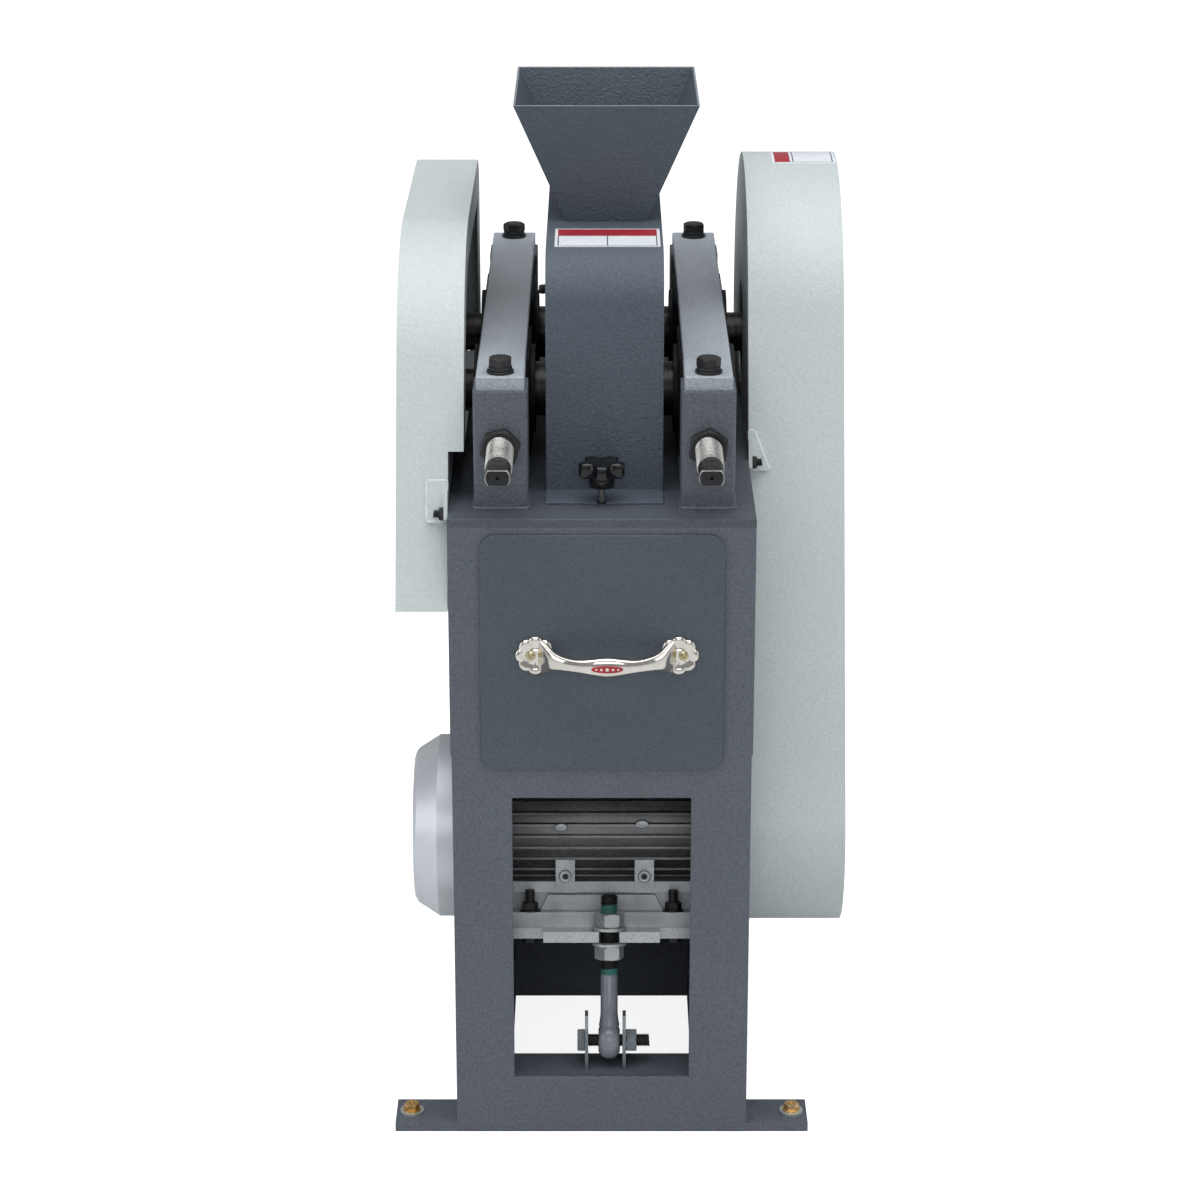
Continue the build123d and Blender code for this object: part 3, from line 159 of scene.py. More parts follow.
aim = Vector((0, 0, 0.5))
soft_boxes = {  # place in metres, width, height and watts
    "top_box": ((0.0, -0.5, 3.0), 2.8, 2.2, 62), "front_box": ((0.1, -3.4, 1.9), 2.2, 1.6, 20),
    "left_box": ((-2.6, -1.3, 1.3), 1.4, 2.0, 14), "right_box": ((2.7, -0.9, 1.3), 1.4, 2.0, 11)}
for name, (place, width, height, watts) in soft_boxes.items():
    data = bpy.data.lights.new(name, "AREA")
    data.shape = "RECTANGLE"
    data.size = width
    data.size_y = height
    data.energy = watts
    lamp = bpy.data.objects.new(name, data)
    lamp.location = place
    lamp.rotation_euler = (aim - Vector(place)).to_track_quat("-Z", "Y").to_euler()
    scene.collection.objects.link(lamp)
print("soft boxes:", ", ".join(soft_boxes))

# %% [markdown]
# The floor is a wide sheet of matt white paper, as in a studio. A photographer lights it until it
# goes white in the picture, which a glow that only the camera sees does here, so that the floor
# still takes the machine's soft shadow and throws no more light than paper does.
# %% Lay the floor
paper_glow = 0.85
floor_mesh = bpy.data.meshes.new("floor")
bm = bmesh.new()
bmesh.ops.create_grid(bm, x_segments=1, y_segments=1, size=15)
bm.to_mesh(floor_mesh)
bm.free()
floor = bpy.data.objects.new("floor", floor_mesh)
scene.collection.objects.link(floor)
floor_paper, tree = empty_material("matt_white_paper")
glow = add_node(tree, "ShaderNodeMath", {0: seen_by_camera(tree), 1: paper_glow},
                operation="MULTIPLY")
paper = add_node(tree, "ShaderNodeBsdfPrincipled", {
    "Base Color": linear("#eceded"), "Roughness": 0.9, "Specular IOR Level": 0.1,
    "Emission Color": linear("#ffffff"), "Emission Strength": glow.outputs[0]})
add_node(tree, "ShaderNodeOutputMaterial", {"Surface": paper.outputs[0]})
floor_mesh.materials.append(floor_paper)
print("floor of", floor_paper.name)

# %% [markdown]
# Most of the machine wears hammered paint: a thick enamel that draws itself into small dimples as
# it dries and hides the marks of welding. To the eye it is a satin grey with a fine pebbled
# shine. The dimples are about three millimetres across, which a cell pattern and a finer noise
# give as bump, and the colour is a touch paler on the crowns than in the hollows.
# %% Hammered paint
def object_space(tree):
    return add_node(tree, "ShaderNodeTexCoord").outputs["Object"]


def hammered_paint(name, crown, hollow, dimple_mm, depth_mm, roughness):
    material, tree = empty_material(name)
    where = object_space(tree)
    cells = add_node(tree, "ShaderNodeTexVoronoi", {
        "Vector": where, "Scale": 1 / (dimple_mm * MM), "Randomness": 0.9}, feature="SMOOTH_F1")
    grain = add_node(tree, "ShaderNodeTexNoise", {
        "Vector": where, "Scale": 1.7 / (dimple_mm * MM), "Detail": 2.0, "Roughness": 0.5})
    cloud = add_node(tree, "ShaderNodeTexNoise", {"Vector": where, "Scale": 9.0, "Detail": 2.0})
    height = add_node(tree, "ShaderNodeMath", {
        0: cells.outputs["Distance"], 1: grain.outputs["Fac"]}, operation="ADD")
    shade = add_node(tree, "ShaderNodeMapRange", {
        "Value": height.outputs[0], "From Min": 0.55, "From Max": 1.25,
        "To Min": 0.0, "To Max": 0.75})
    drift = add_node(tree, "ShaderNodeMath", {
        0: cloud.outputs["Fac"], 1: 0.35, 2: shade.outputs[0]}, operation="MULTIPLY_ADD")
    colour = add_node(tree, "ShaderNodeMix", {
        "Factor": drift.outputs[0], "A": linear(crown), "B": linear(hollow)}, data_type="RGBA")
    sheen = add_node(tree, "ShaderNodeMapRange", {
        "Value": grain.outputs["Fac"], "From Min": 0.3, "From Max": 0.7,
        "To Min": roughness - 0.06, "To Max": roughness + 0.08})
    bump = add_node(tree, "ShaderNodeBump", {
        "Height": height.outputs[0], "Strength": 0.9, "Distance": depth_mm * MM}, invert=True)
    paint = add_node(tree, "ShaderNodeBsdfPrincipled", {
        "Base Color": colour.outputs["Result"], "Roughness": sheen.outputs[0], "IOR": 1.5,
        "Normal": bump.outputs[0]})
    add_node(tree, "ShaderNodeOutputMaterial", {"Surface": paint.outputs[0]})
    return material


finish = {
    "dark_paint": hammered_paint("hammered_grey_enamel", "#636973", "#4d535b", 2.6, 0.55, 0.46),
    "guard_paint": hammered_paint("hammered_pale_enamel", "#c5cdce", "#b9c1c2", 2.8, 0.32, 0.44),
    "drawer_paint": hammered_paint("hammered_slate_enamel", "#505963", "#434b54", 2.6, 0.6, 0.56),
}
print("paints for", ", ".join(finish))

# %% [markdown]
# The other finishes are metals and moulded plastics. A metal takes its colour from its
# reflections, so its base colour is pale and its roughness does the work: cast iron is dull and
# dark, ground steel has fine lines along its turning, and zinc plate is a little cloudy. A coat
# that is part oxide, oil or paint is less metallic. Each one gets slow clouds of tone and a fine
# grain, since no worked metal is even, and a grain too fine to show is drawn at one to two
# millimetres.
# %% Metals and plastics
def worked_metal(name, pale, dark, roughness, spread, grain_mm, stretch=(1, 1, 1), metallic=1.0,
                 depth_mm=0.02):
    material, tree = empty_material(name)
    where = add_node(tree, "ShaderNodeMapping", {"Vector": object_space(tree), "Scale": stretch})
    grain = add_node(tree, "ShaderNodeTexNoise", {
        "Vector": where.outputs[0], "Scale": 1 / (grain_mm * MM), "Detail": 3.0, "Roughness": 0.6})
    cloud = add_node(tree, "ShaderNodeTexNoise", {
        "Vector": where.outputs[0], "Scale": 40.0, "Detail": 3.0})
    tone = add_node(tree, "ShaderNodeMath", {
        0: grain.outputs["Fac"], 1: cloud.outputs["Fac"]}, operation="MULTIPLY")
    level = add_node(tree, "ShaderNodeMapRange", {
        "Value": tone.outputs[0], "From Min": 0.12, "From Max": 0.4})
    colour = add_node(tree, "ShaderNodeMix", {
        "Factor": level.outputs[0], "A": linear(dark), "B": linear(pale)}, data_type="RGBA")
    gloss = add_node(tree, "ShaderNodeMapRange", {
        "Value": grain.outputs["Fac"], "From Min": 0.3, "From Max": 0.7,
        "To Min": max(roughness - spread, 0.02), "To Max": roughness + spread})
    bump = add_node(tree, "ShaderNodeBump", {
        "Height": grain.outputs["Fac"], "Strength": 0.4, "Distance": depth_mm * MM})
    metal = add_node(tree, "ShaderNodeBsdfPrincipled", {
        "Base Color": colour.outputs["Result"], "Metallic": metallic, "Roughness": gloss.outputs[0],
        "Normal": bump.outputs[0]})
    add_node(tree, "ShaderNodeOutputMaterial", {"Surface": metal.outputs[0]})
    return material


finish.update({
    "bright_steel": worked_metal("turned_steel", "#c9c7c2", "#8e8c88", 0.3, 0.08, 1.2, (1, 6, 1)),
    "black_steel": worked_metal("black_oxide_steel", "#343436", "#161618", 0.48, 0.1, 1.5,
                                metallic=0.35),
    "zinc_steel": worked_metal("zinc_plated_steel", "#a8abac", "#7c8083", 0.36, 0.1, 2.0),
    "gold_zinc": worked_metal("yellow_zinc_plate", "#ecd09a", "#c79a55", 0.26, 0.08, 1.5,
                              metallic=0.8),
    "cast_iron": worked_metal("dark_cast_iron", "#303235", "#17181a", 0.6, 0.1, 1.6, metallic=0.5,
                              depth_mm=0.12),
    "roller_iron": worked_metal("ground_chilled_iron", "#6a6a6b", "#4a4a4c", 0.38, 0.08, 1.2,
                                (12, 1, 1)),
    "aluminium": worked_metal("sand_cast_aluminium", "#98999a", "#6a6b6d", 0.42, 0.1, 1.4,
                              (0.3, 1, 1), metallic=0.7, depth_mm=0.06),
    "fan_cover_metal": worked_metal("spun_satin_aluminium", "#dde1e6", "#d2d7dd", 0.4, 0.04, 0.8,
                                    metallic=0.6),
    "chrome": worked_metal("nickel_chrome_plate", "#e6e1da", "#d5d0c9", 0.1, 0.04, 4.0),
    "brass": worked_metal("brass_plated_screw", "#ddd3b0", "#ab9f78", 0.24, 0.06, 1.0),
    "rubber": worked_metal("belt_rubber", "#1b1b1b", "#101010", 0.7, 0.08, 1.0, metallic=0.0),
    "black_plastic": worked_metal("moulded_black_phenolic", "#101214", "#08090a", 0.16, 0.04, 3.0,
                                  metallic=0.0, depth_mm=0.01),
    "red_enamel": worked_metal("red_enamel_inlay", "#b8343a", "#9a242c", 0.25, 0.05, 1.0,
                               metallic=0.0)})
print("finishes for", len(finish), "slots")

# %% [markdown]
# A few pieces wear a coat that differs from the rest of their slot: the shafts are dark oiled
# steel, made darker still as painted shade for the shade they stand in between the guards and the
# posts, the motor's feet are milled, and the zinc is bright where it is new and dull where it has
# stood open.
# %% Coats of single pieces
milled_aluminium = worked_metal("milled_aluminium", "#cdd1d4", "#a2a6aa", 0.4, 0.1, 1.4,
                                metallic=0.45)
# dark steel, darkened further as painted shade for the shade around the shafts
dark_shaft = worked_metal("dark_steel_painted_shade_shaft", "#4c4b4a", "#232324", 0.36, 0.1, 1.4, (8, 1, 1),
                          metallic=0.8)
dull_zinc = worked_metal("dull_zinc_plate", "#868d92", "#666d72", 0.4, 0.1, 1.6, metallic=0.7,
                         depth_mm=0.006)
bright_zinc = worked_metal("bright_zinc_plate", "#cfd3d4", "#b9bdbe", 0.32, 0.06, 1.8, metallic=0.6,
                           depth_mm=0.004)
own_coat = {"front_shaft": dark_shaft, "rear_shaft": dark_shaft, "motor_feet": milled_aluminium,
            "motor_plate": bright_zinc, "tab_washers": bright_zinc, "sill_ears": dull_zinc}
for name, node in nodes.items():
    node.data.materials.clear()
    node.data.materials.append(own_coat.get(name, finish[slot_of[name]]))
print("pieces with a coat of their own:", ", ".join(own_coat))

# %% [markdown]
# Welded plate has no razor edges: it is cut, ground and painted, so each edge catches a thin line
# of light. A copy of the frame's piece gets its loose triangles joined and its flat faces
# dissolved, and then a small bevel runs along every sharp edge that the function's filter lets
# through.
# %% A function that softens edges
def softened(name, width_mm, where=None, sharp=35, segments=2):
    """Makes a copy of a frame piece with soft edges, which stands in for it."""
    source = nodes[name]
    bm = bmesh.new()
    bm.from_mesh(source.data)
    bmesh.ops.remove_doubles(bm, verts=bm.verts, dist=1e-6)
    bmesh.ops.dissolve_limit(bm, angle_limit=math.radians(0.8), verts=bm.verts, edges=bm.edges)
    edges = [e for e in bm.edges
             if len(e.link_faces) == 2 and e.calc_face_angle(0) > math.radians(sharp)]
    if where:
        edges = [e for e in edges if all(where(v.co / MM) for v in e.verts)]
    if edges:
        bmesh.ops.bevel(bm, geom=edges, offset=width_mm * MM, offset_type="OFFSET",
                        segments=segments, profile=0.5, affect="EDGES", clamp_overlap=True,
                        material=-1)
    mesh = bpy.data.meshes.new("soft_" + name)
    bm.to_mesh(mesh)
    bm.free()
    for face in mesh.polygons:
        face.use_smooth = True
    mesh.set_sharp_from_angle(angle=math.radians(sharp))
    mesh.materials.append(finish[slot_of[name]])
    piece = bpy.data.objects.new("soft_" + name, mesh)
    scene.collection.objects.link(piece)
    even = piece.modifiers.new("even", "WEIGHTED_NORMAL")
    even.mode = "FACE_AREA"
    even.keep_sharp = True
    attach(piece, source["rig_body"])
    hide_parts(name)
    print(piece.name, len(mesh.polygons), "faces")
    return piece


# %% [markdown]
# Plates that are welded flush were ground level with each other, so no groove shows between them.
# Their filters keep the bevel away from such seams. The motor's fan cover is spun from thin
# sheet, so only its outer edge is rounded.
# %% Soften the edges of the plate work
deck_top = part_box("deck_plate")[1][2] / MM
cabinet_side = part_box("upper_side_plates")[1][0] / MM
window_top = 345
seam_width = 6
flush = {"lower_front_plate": lambda v: abs(v.x) < 0.9 * cabinet_side and v.z < window_top,
         "left_side_plate": lambda v: abs(v.x) > cabinet_side - seam_width,
         "right_side_plate": lambda v: abs(v.x) > cabinet_side - seam_width,
         "upper_side_plates": lambda v: abs(v.x) > cabinet_side - 0.5 and v.z < deck_top - 1,
         "upper_front_plate": lambda v: False,
         "deck_plate": lambda v: v.z > deck_top - 0.5}
edge_width = {"foot_tabs": 1.2, "lower_front_plate": 1.0, "left_side_plate": 1.0,
              "right_side_plate": 1.0, "rear_plates": 1.0, "upper_side_plates": 0.8,
              "upper_front_plate": 1.0, "deck_plate": 1.2, "bearing_stands": 1.2,
              "clamp_bars": 0.8, "casing": 0.5, "hopper": 0.7, "belt_guard": 0.6,
              "gear_guard": 0.6, "drawer_front": 1.5, "front_blocks": 0.8, "rear_blocks": 0.8}
plates = {name: softened(name, width, flush.get(name)) for name, width in edge_width.items()}

motor_axis = (0, -110.9, 233.6)
cover_edge_x = -165
cover_inner = 70
softened("fan_cover", 0.4, lambda v: v.x < cover_edge_x and math.hypot(
    v.y - motor_axis[1], v.z - motor_axis[2]) > cover_inner, sharp=16)

# %% [markdown]
# Some plates get a paint of their own. The clamp bars are paler, a painted highlight for the light
# on their tops, and the deck is darker and duller, painted shade for the shade between the posts
# and the casing. The top of the hopper's rim is paler, and the casing's coat is a little bluer.
# %% Paints of single plates
own_paint = {
    # paler paint on the clamp bars: a painted highlight for the light on their tops
    "clamp_bars": hammered_paint("painted_highlight_enamel", "#b0b7be", "#8e959c", 2.2, 0.5, 0.5),
    # darker paint on the deck: painted shade for the shade between the posts and the casing
    "deck_plate": hammered_paint("painted_shade_dull_enamel", "#535962", "#42484f", 2.6, 0.55, 0.54),
    "casing": hammered_paint("hammered_blue_slate_enamel", "#57616c", "#49515b", 2.6, 0.6, 0.68)}
for name, paint in own_paint.items():
    plates[name].data.materials[0] = paint
rim_depth = 0.9
hopper_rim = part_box("hopper")[1][2] - rim_depth * MM
# the faces at the top of the hopper's rim get a paler paint
plates["hopper"].data.materials.append(
    hammered_paint("pale_rim_enamel", "#8b929a", "#757c84", 2.4, 0.4, 0.42))
for face in plates["hopper"].data.polygons:
    if face.center.z > hopper_rim:
        face.material_index = 1
print("plates with a paint of their own:", ", ".join(own_paint), "and the hopper's rim")

# %% [markdown]
# The machine's own small metalwork is modelled afresh, since a screw without its thread or a nut
# without its rounded corners looks like a toy. Two ways of building cover nearly all of it. A
# turned thing is a profile spun round an axis. Anything with another outline starts as a circle
# of edges that is extruded row by row, and each row says where the point at a given angle goes.
# Both work in millimetres about the upright axis, and a placing matrix takes the result to where
# it belongs.
# %% Two ways to build a shape
def lathe(profile, steps=48, closed=False):
    """Turns a profile of (radius, height) points round the upright axis."""
    bm = bmesh.new()
    verts = [bm.verts.new((radius, 0, height)) for radius, height in profile]
    edges = [bm.edges.new(pair) for pair in zip(verts, verts[1:])]
    if closed:
        edges.append(bm.edges.new((verts[-1], verts[0])))
    bmesh.ops.spin(bm, geom=verts + edges, cent=(0, 0, 0), axis=(0, 0, 1), dvec=(0, 0, 0),
                   angle=2 * math.pi, steps=steps, use_merge=True, use_duplicate=False)
    bmesh.ops.remove_doubles(bm, verts=bm.verts, dist=1e-4)
    return bm


def extruded(bm, edges):
    """Extrudes a row of edges. Gives the new points and the new row."""
    made = bmesh.ops.extrude_edge_only(bm, edges=edges)["geom"]
    points = {item for item in made if isinstance(item, bmesh.types.BMVert)}
    row = [item for item in made if isinstance(item, bmesh.types.BMEdge)
           and item.verts[0] in points and item.verts[1] in points]
    return points, row


def grow(rows, steps=48, closed=False):
    """Extrudes a circle of edges row by row. Each row is a function from an angle to a place."""
    bm = bmesh.new()
    turn = bm.verts.layers.float.new("turn")
    ring = bmesh.ops.create_circle(bm, segments=steps, radius=1.0)["verts"]
    for vert in ring:
        vert[turn] = math.atan2(vert.co.y, vert.co.x)
    first = edges = list(bm.edges)
    for number, row in enumerate(rows):
        if number:
            ring, edges = extruded(bm, edges)
        for vert in ring:
            vert.co = row(vert[turn])
    if closed:
        bmesh.ops.bridge_loops(bm, edges=first + edges)
    else:
        bmesh.ops.edgeloop_fill(bm, edges=first)
        bmesh.ops.edgeloop_fill(bm, edges=edges)
    return bm


def level(outline, height):
    """A flat row: the outline gives a radius for an angle, or is one radius."""
    def row(angle):
        radius = outline(angle) if callable(outline) else outline
        return radius * math.cos(angle), radius * math.sin(angle), height
    return row


print("a test disc has", len(lathe([(0, 0), (5, 0), (5, 2), (0, 2)]).faces), "faces")

# %% [markdown]
# Nuts, bolt heads, washers and threads are made by the same few rules everywhere. A lathe turns
# the corners of a hexagon off at thirty degrees, which leaves an arc on each flat. It cuts a
# thread in the same way as here: the profile of one tooth goes round and climbs by one pitch for
# every turn.
# %% Threads, nuts, bolt heads and washers
chamfer_slope = math.tan(math.radians(30))


def hexagon(across):
    step = math.pi / 3
    return lambda angle: across / 2 / math.cos((angle % step) - step / 2)


def thread(crest, pitch, depth, low, high, steps=24, crest_coat=0, root_coat=0):
    """A screw thread: one tooth's profile spun round while it climbs by one pitch a turn."""
    bm = bmesh.new()
    root = crest - depth
    tooth = [(root, 0), (root, 0.22), (crest, 0.52), (crest, 0.7), (root, 1)]
    verts = [bm.verts.new((radius, 0, low + part * pitch)) for radius, part in tooth]
    edges = [bm.edges.new(pair) for pair in zip(verts, verts[1:])]
    turns = int((high - low) / pitch) - 1
    bmesh.ops.spin(bm, geom=verts + edges, cent=(0, 0, 0), axis=(0, 0, 1),
                   dvec=(0, 0, pitch / steps), angle=2 * math.pi * turns, steps=steps * turns,
                   use_duplicate=False)
    bmesh.ops.remove_doubles(bm, verts=bm.verts, dist=0.01)
    bmesh.ops.holes_fill(bm, edges=[edge for edge in bm.edges if edge.is_boundary], sides=0)
    for face in bm.faces:
        middle = face.calc_center_median()
        shallow = math.hypot(middle.x, middle.y) > crest - 0.7 * depth
        face.material_index = crest_coat if shallow else root_coat
    return bm


def nut(across, height, bore, corner=0.95):
    """A hexagon nut, with its corners turned off at both ends."""
    flat = across / 2 * corner
    side = hexagon(across)

    def corner_row(base, sign):
        def row(angle):
            radius = side(angle)
            drop = (radius - flat) * chamfer_slope
            return radius * math.cos(angle), radius * math.sin(angle), base - sign * drop
        return row
    return grow([level(bore, 0), level(flat, 0), corner_row(0, -1), corner_row(height, 1),
                 level(flat, height), level(bore, height)], 72, closed=True)


def bolt_head(across, height):
    """The head of a hexagon bolt, closed at its top and its foot."""
    flat = across / 2 * 0.93
    side = hexagon(across)

    def shoulder(angle):
        radius = side(angle)
        drop = (radius - flat) * chamfer_slope
        return radius * math.cos(angle), radius * math.sin(angle), height - drop
    return grow([level(flat, 0), level(side, 0.4), shoulder, level(flat, height),
                 level(flat * 0.5, height)], 72)


def washer(outer, bore, thickness):
    rim = min(0.3, thickness / 3)
    return lathe([(bore, 0), (outer - rim, 0), (outer, rim), (outer, thickness - rim),
                  (outer - rim, thickness), (bore, thickness)], 56, closed=True)


print("a test nut has", len(nut(24, 13, 7.4).faces), "faces")

# %% [markdown]
# A shape is built standing on the origin, so a matrix lays it along the axis that it belongs to.
# Then its shells become one mesh at real size, which rides on a body of the frame and may stand
# in for pieces of the frame.
# %% Place and join the shells
def moved(x, y, z):
    return Matrix.Translation((x, y, z))


def turned(degrees, axis="Z"):
    return Matrix.Rotation(math.radians(degrees), 4, axis)


def along_x(x, y, z):
    return moved(x, y, z) @ turned(90, "Y")


def along_y(x, y, z):
    return moved(x, y, z) @ turned(-90, "X")


def against_y(x, y, z):
    return moved(x, y, z) @ turned(90, "X")


def box_mm(name):
    low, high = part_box(name)
    return [value / MM for value in low], [value / MM for value in high]


def settle(name, shells, like, slot, stands_for=(), sharp=32, coats=None):
    """Joins shells, each with its place and its coat, into one piece that rides as another does."""
    body = nodes[like]["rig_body"]
    mesh = bpy.data.meshes.new(name)
    whole = bmesh.new()
    for shell, place, coat in shells:
        bmesh.ops.remove_doubles(shell, verts=shell.verts, dist=1e-4)
        bmesh.ops.transform(shell, matrix=place, verts=shell.verts)
        bmesh.ops.recalc_face_normals(shell, faces=shell.faces)
        for face in shell.faces:
            if coat is not None:
                face.material_index = coat
        shell.to_mesh(mesh)
        shell.free()
        whole.from_mesh(mesh)
    bmesh.ops.scale(whole, vec=(MM, MM, MM), verts=whole.verts)
    whole.to_mesh(mesh)
    whole.free()
    for face in mesh.polygons:
        face.use_smooth = True
    mesh.set_sharp_from_angle(angle=math.radians(sharp))
    for coat in coats or [finish[slot]]:
        mesh.materials.append(coat)
    piece = bpy.data.objects.new(name, mesh)
    scene.collection.objects.link(piece)
    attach(piece, body)
    if stands_for:
        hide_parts(*stands_for)
    print(name, len(mesh.polygons), "faces")
    return piece


print("a bolt along x points to", tuple(round(v) for v in along_x(0, 0, 0) @ Vector((0, 0, 1))))

# %% [markdown]
# A heavy screw goes through each bearing post and sets the gap between the rollers. It is turned
# steel with a coarse thread, and its outer end is blackened and has two flats for a spanner, with
# the small hole that the lathe's centre left.
# %% Gap screws
screw_radius, screw_pitch, screw_groove = 12, 4, 1.6
flats_length = 29
screw_low, screw_high = box_mm("front_screws")
screw_z = (screw_low[2] + screw_high[2]) / 2
screw_xs = (screw_low[0] + screw_radius, screw_high[0] - screw_radius)
screw_tip = -screw_low[1]
rear_low, rear_high = box_mm("rear_screws")
rear_tip = rear_high[1]


def two_flats(radius, half):
    return lambda angle: min(radius, half / max(abs(math.sin(angle)), 0.01))


def spanner_end(tip, length):
    """The blackened end with its two flats, worn bright round the rim of its face."""
    wide = two_flats(11, 7)
    bm = grow([level(wide, tip - length), level(wide, tip - 1.2), level(two_flats(10, 6.4), tip),
               level(1.6, tip), level(1.5, tip - 3.5)], 96)
    for face in bm.faces:
        middle = face.calc_center_median()
        worn = middle.z > tip - 1.1 and math.hypot(middle.x, middle.y) > 6.2
        face.material_index = 0 if worn else 1
    return bm


def gap_thread(low, high):
    return thread(screw_radius, screw_pitch, screw_groove, low, high, 28, root_coat=2)


front_shells = []
rear_shells = []
for x in screw_xs:
    front = against_y(x, 0, screw_z)
    front_shells.append((gap_thread(-screw_high[1], screw_tip - 24), front, None))
    front_shells.append((spanner_end(screw_tip, flats_length), front, None))
    rear = along_y(x, 0, screw_z)
    rear_shells.append((gap_thread(rear_low[1], rear_tip - 1), rear, None))
    rear_shells.append((lathe([(0, rear_tip - 6), (10.6, rear_tip - 6), (10.6, rear_tip - 1),
                               (9.6, rear_tip), (0, rear_tip)]), rear, 0))
thread_steel = worked_metal("oiled_thread_steel", "#c0bfbc", "#9c9b98", 0.3, 0.08, 1.6,
                            metallic=0.85, depth_mm=0.004)
# the roots of the gap screws' threads take a dark coat: painted shade in the thread's grooves
thread_shadow = worked_metal("painted_thread_root_shade", "#4c4a48", "#302f2e", 0.5, 0.1, 1.6, metallic=0.5)
screw_coats = [thread_steel, finish["black_steel"], thread_shadow]
settle("threaded_front_screws", front_shells, "front_screws", "bright_steel", ["front_screws"],
       coats=screw_coats)
settle("threaded_rear_screws", rear_shells, "rear_screws", "bright_steel", ["rear_screws"],
       coats=screw_coats)

# %% [markdown]
# A thin lock nut on each screw holds it where it is set. A nut stops where it is tight, so those
# at the left and at the right show their corners at different angles.
# %% Lock nuts
nut_low, nut_high = box_mm("lock_nuts")
nut_thickness = 9
nut_across, nut_bore = 32, 10.8
nut_shells = []
for x, angle in zip(screw_xs, (13.5, 23.5)):
    for place in (against_y(x, nut_low[1] + nut_thickness, screw_z),
                  along_y(x, nut_high[1] - nut_thickness, screw_z)):
        nut_shells.append((nut(nut_across, nut_thickness, nut_bore), place @ turned(angle), None))
settle("rounded_lock_nuts", nut_shells, "lock_nuts", "black_steel", ["lock_nuts"], sharp=25)

# %% [markdown]
# The belts are kept tight by an eye bolt that pulls the motor's plate down. Its eye is forged and
# turns on a pin between two ears at the front sill. The rod is dipped in grey paint near the eye,
# and further up it has a thread with traces of green thread paint on each side of the nuts.
# Lengths along the rod are counted from the height of the motor's shaft, on the motor's own
# leaning axes.
# %% Eye bolt
motor_frame = moved(*motor_axis) @ turned(-15, "X")
rod = motor_frame @ moved(7, -105.04, 0)
eye = -187.2
rod_radius = 8
eye_profile = [(6.1, -8.6), (7.6, -9.9), (10.2, -10), (13.0, -8.8), (15.4, -6.6), (17.0, -3.6),
               (17.5, 0), (17.0, 3.6), (15.4, 6.6), (13.0, 8.8), (10.2, 10), (7.6, 9.9), (6.1, 8.6)]
rod_shells = [
    (lathe(eye_profile, 64, closed=True), rod @ moved(0, 0, eye) @ turned(90, "Y"), 1),
    (lathe([(0, eye + 14), (9.6, eye + 14), (8.6, eye + 20), (rod_radius, eye + 26),
            (rod_radius, -126), (7.2, -124.5), (0, -124.5)]), rod, 1),
    (lathe([(0, -54), (6.9, -54), (6.9, -51.4), (5.8, -50.2), (0, -50.2)]), rod, 0)]
for low, high, coat in ((-127, -119, 2), (-121, -66, 0), (-69, -58, 2), (-61, -51, 0)):
    rod_shells.append((thread(rod_radius, 2, 1.1, low, high), rod, coat))
rod_paint = worked_metal("dipped_grey_paint", "#7d838a", "#70767d", 0.2, 0.05, 5.0, metallic=0.0)
green_thread = worked_metal("green_thread_paint", "#4f8f88", "#39665f", 0.4, 0.1, 1.5, metallic=0.1)
settle("threaded_eye_bolt", rod_shells, "eye_bolt", "zinc_steel", ["eye_bolt"],
       coats=[finish["black_steel"], rod_paint, green_thread])

# %% [markdown]
# One nut above the motor's plate and one below it hold the plate on the rod, each on a washer.
# The pin through the eye is a bolt with dull zinc on its head and nut, and a black thread.
# %% Tension nuts and pin
tension_shells = [(nut(24, 13, 7.4), rod @ moved(0, 0, low) @ turned(12), None)
                  for low in (-80.2, -110.8)]
tension_shells += [(washer(16, 7.6, 3), rod @ moved(0, 0, low), None) for low in (-83.2, -97.8)]
settle("rounded_tension_nuts", tension_shells, "tension_nuts", "zinc_steel", ["tension_nuts"],
       coats=[bright_zinc])

pin_across = 19.5
pin = along_x(0, -260.8, 80)
settle("threaded_pin", [
    (bolt_head(pin_across, 7), pin @ moved(0, 0, -15.5) @ turned(180, "Y"), None),
    (lathe([(0, -16), (6, -16), (6, -14), (5.2, -13), (5.2, 23), (0, 23)]), pin, 1),
    (thread(6, 1.9, 1.0, -14, 45, 24, crest_coat=1, root_coat=1), pin, None),
    (nut(pin_across, 10, 5.2), pin @ moved(0, 0, 22.5), None)],
    "clevis_bolt", "zinc_steel", ["clevis_bolt"], coats=[dull_zinc, finish["black_steel"]])

# %% [markdown]
# The drawer's handle is a cast furniture handle with nickel plate. At each end is a ruffled
# rosette, a dished disc whose rim follows the cosine of its eight petals. Its brass screw has a
# cross in it.
# %% Rosettes and handle screws
handle_low, handle_high = box_mm("drawer_handle")
handle_x = (handle_low[0] + handle_high[0]) / 2
handle_back = handle_high[1]
rose_z = (handle_low[2] + handle_high[2]) / 2 + 1.5
screw_x = 67.5
rose_x = 63.5


def petals(size):
    def outline(angle):
        return size * (15.6 + 2.4 * abs(math.cos(4 * angle)) ** 0.55)
    return outline


def ruffled(size, low, rise):
    def row(angle):
        radius = petals(size)(angle)
        height = low + rise * abs(math.cos(4 * angle))
        return radius * math.cos(angle), radius * math.sin(angle), height
    return row


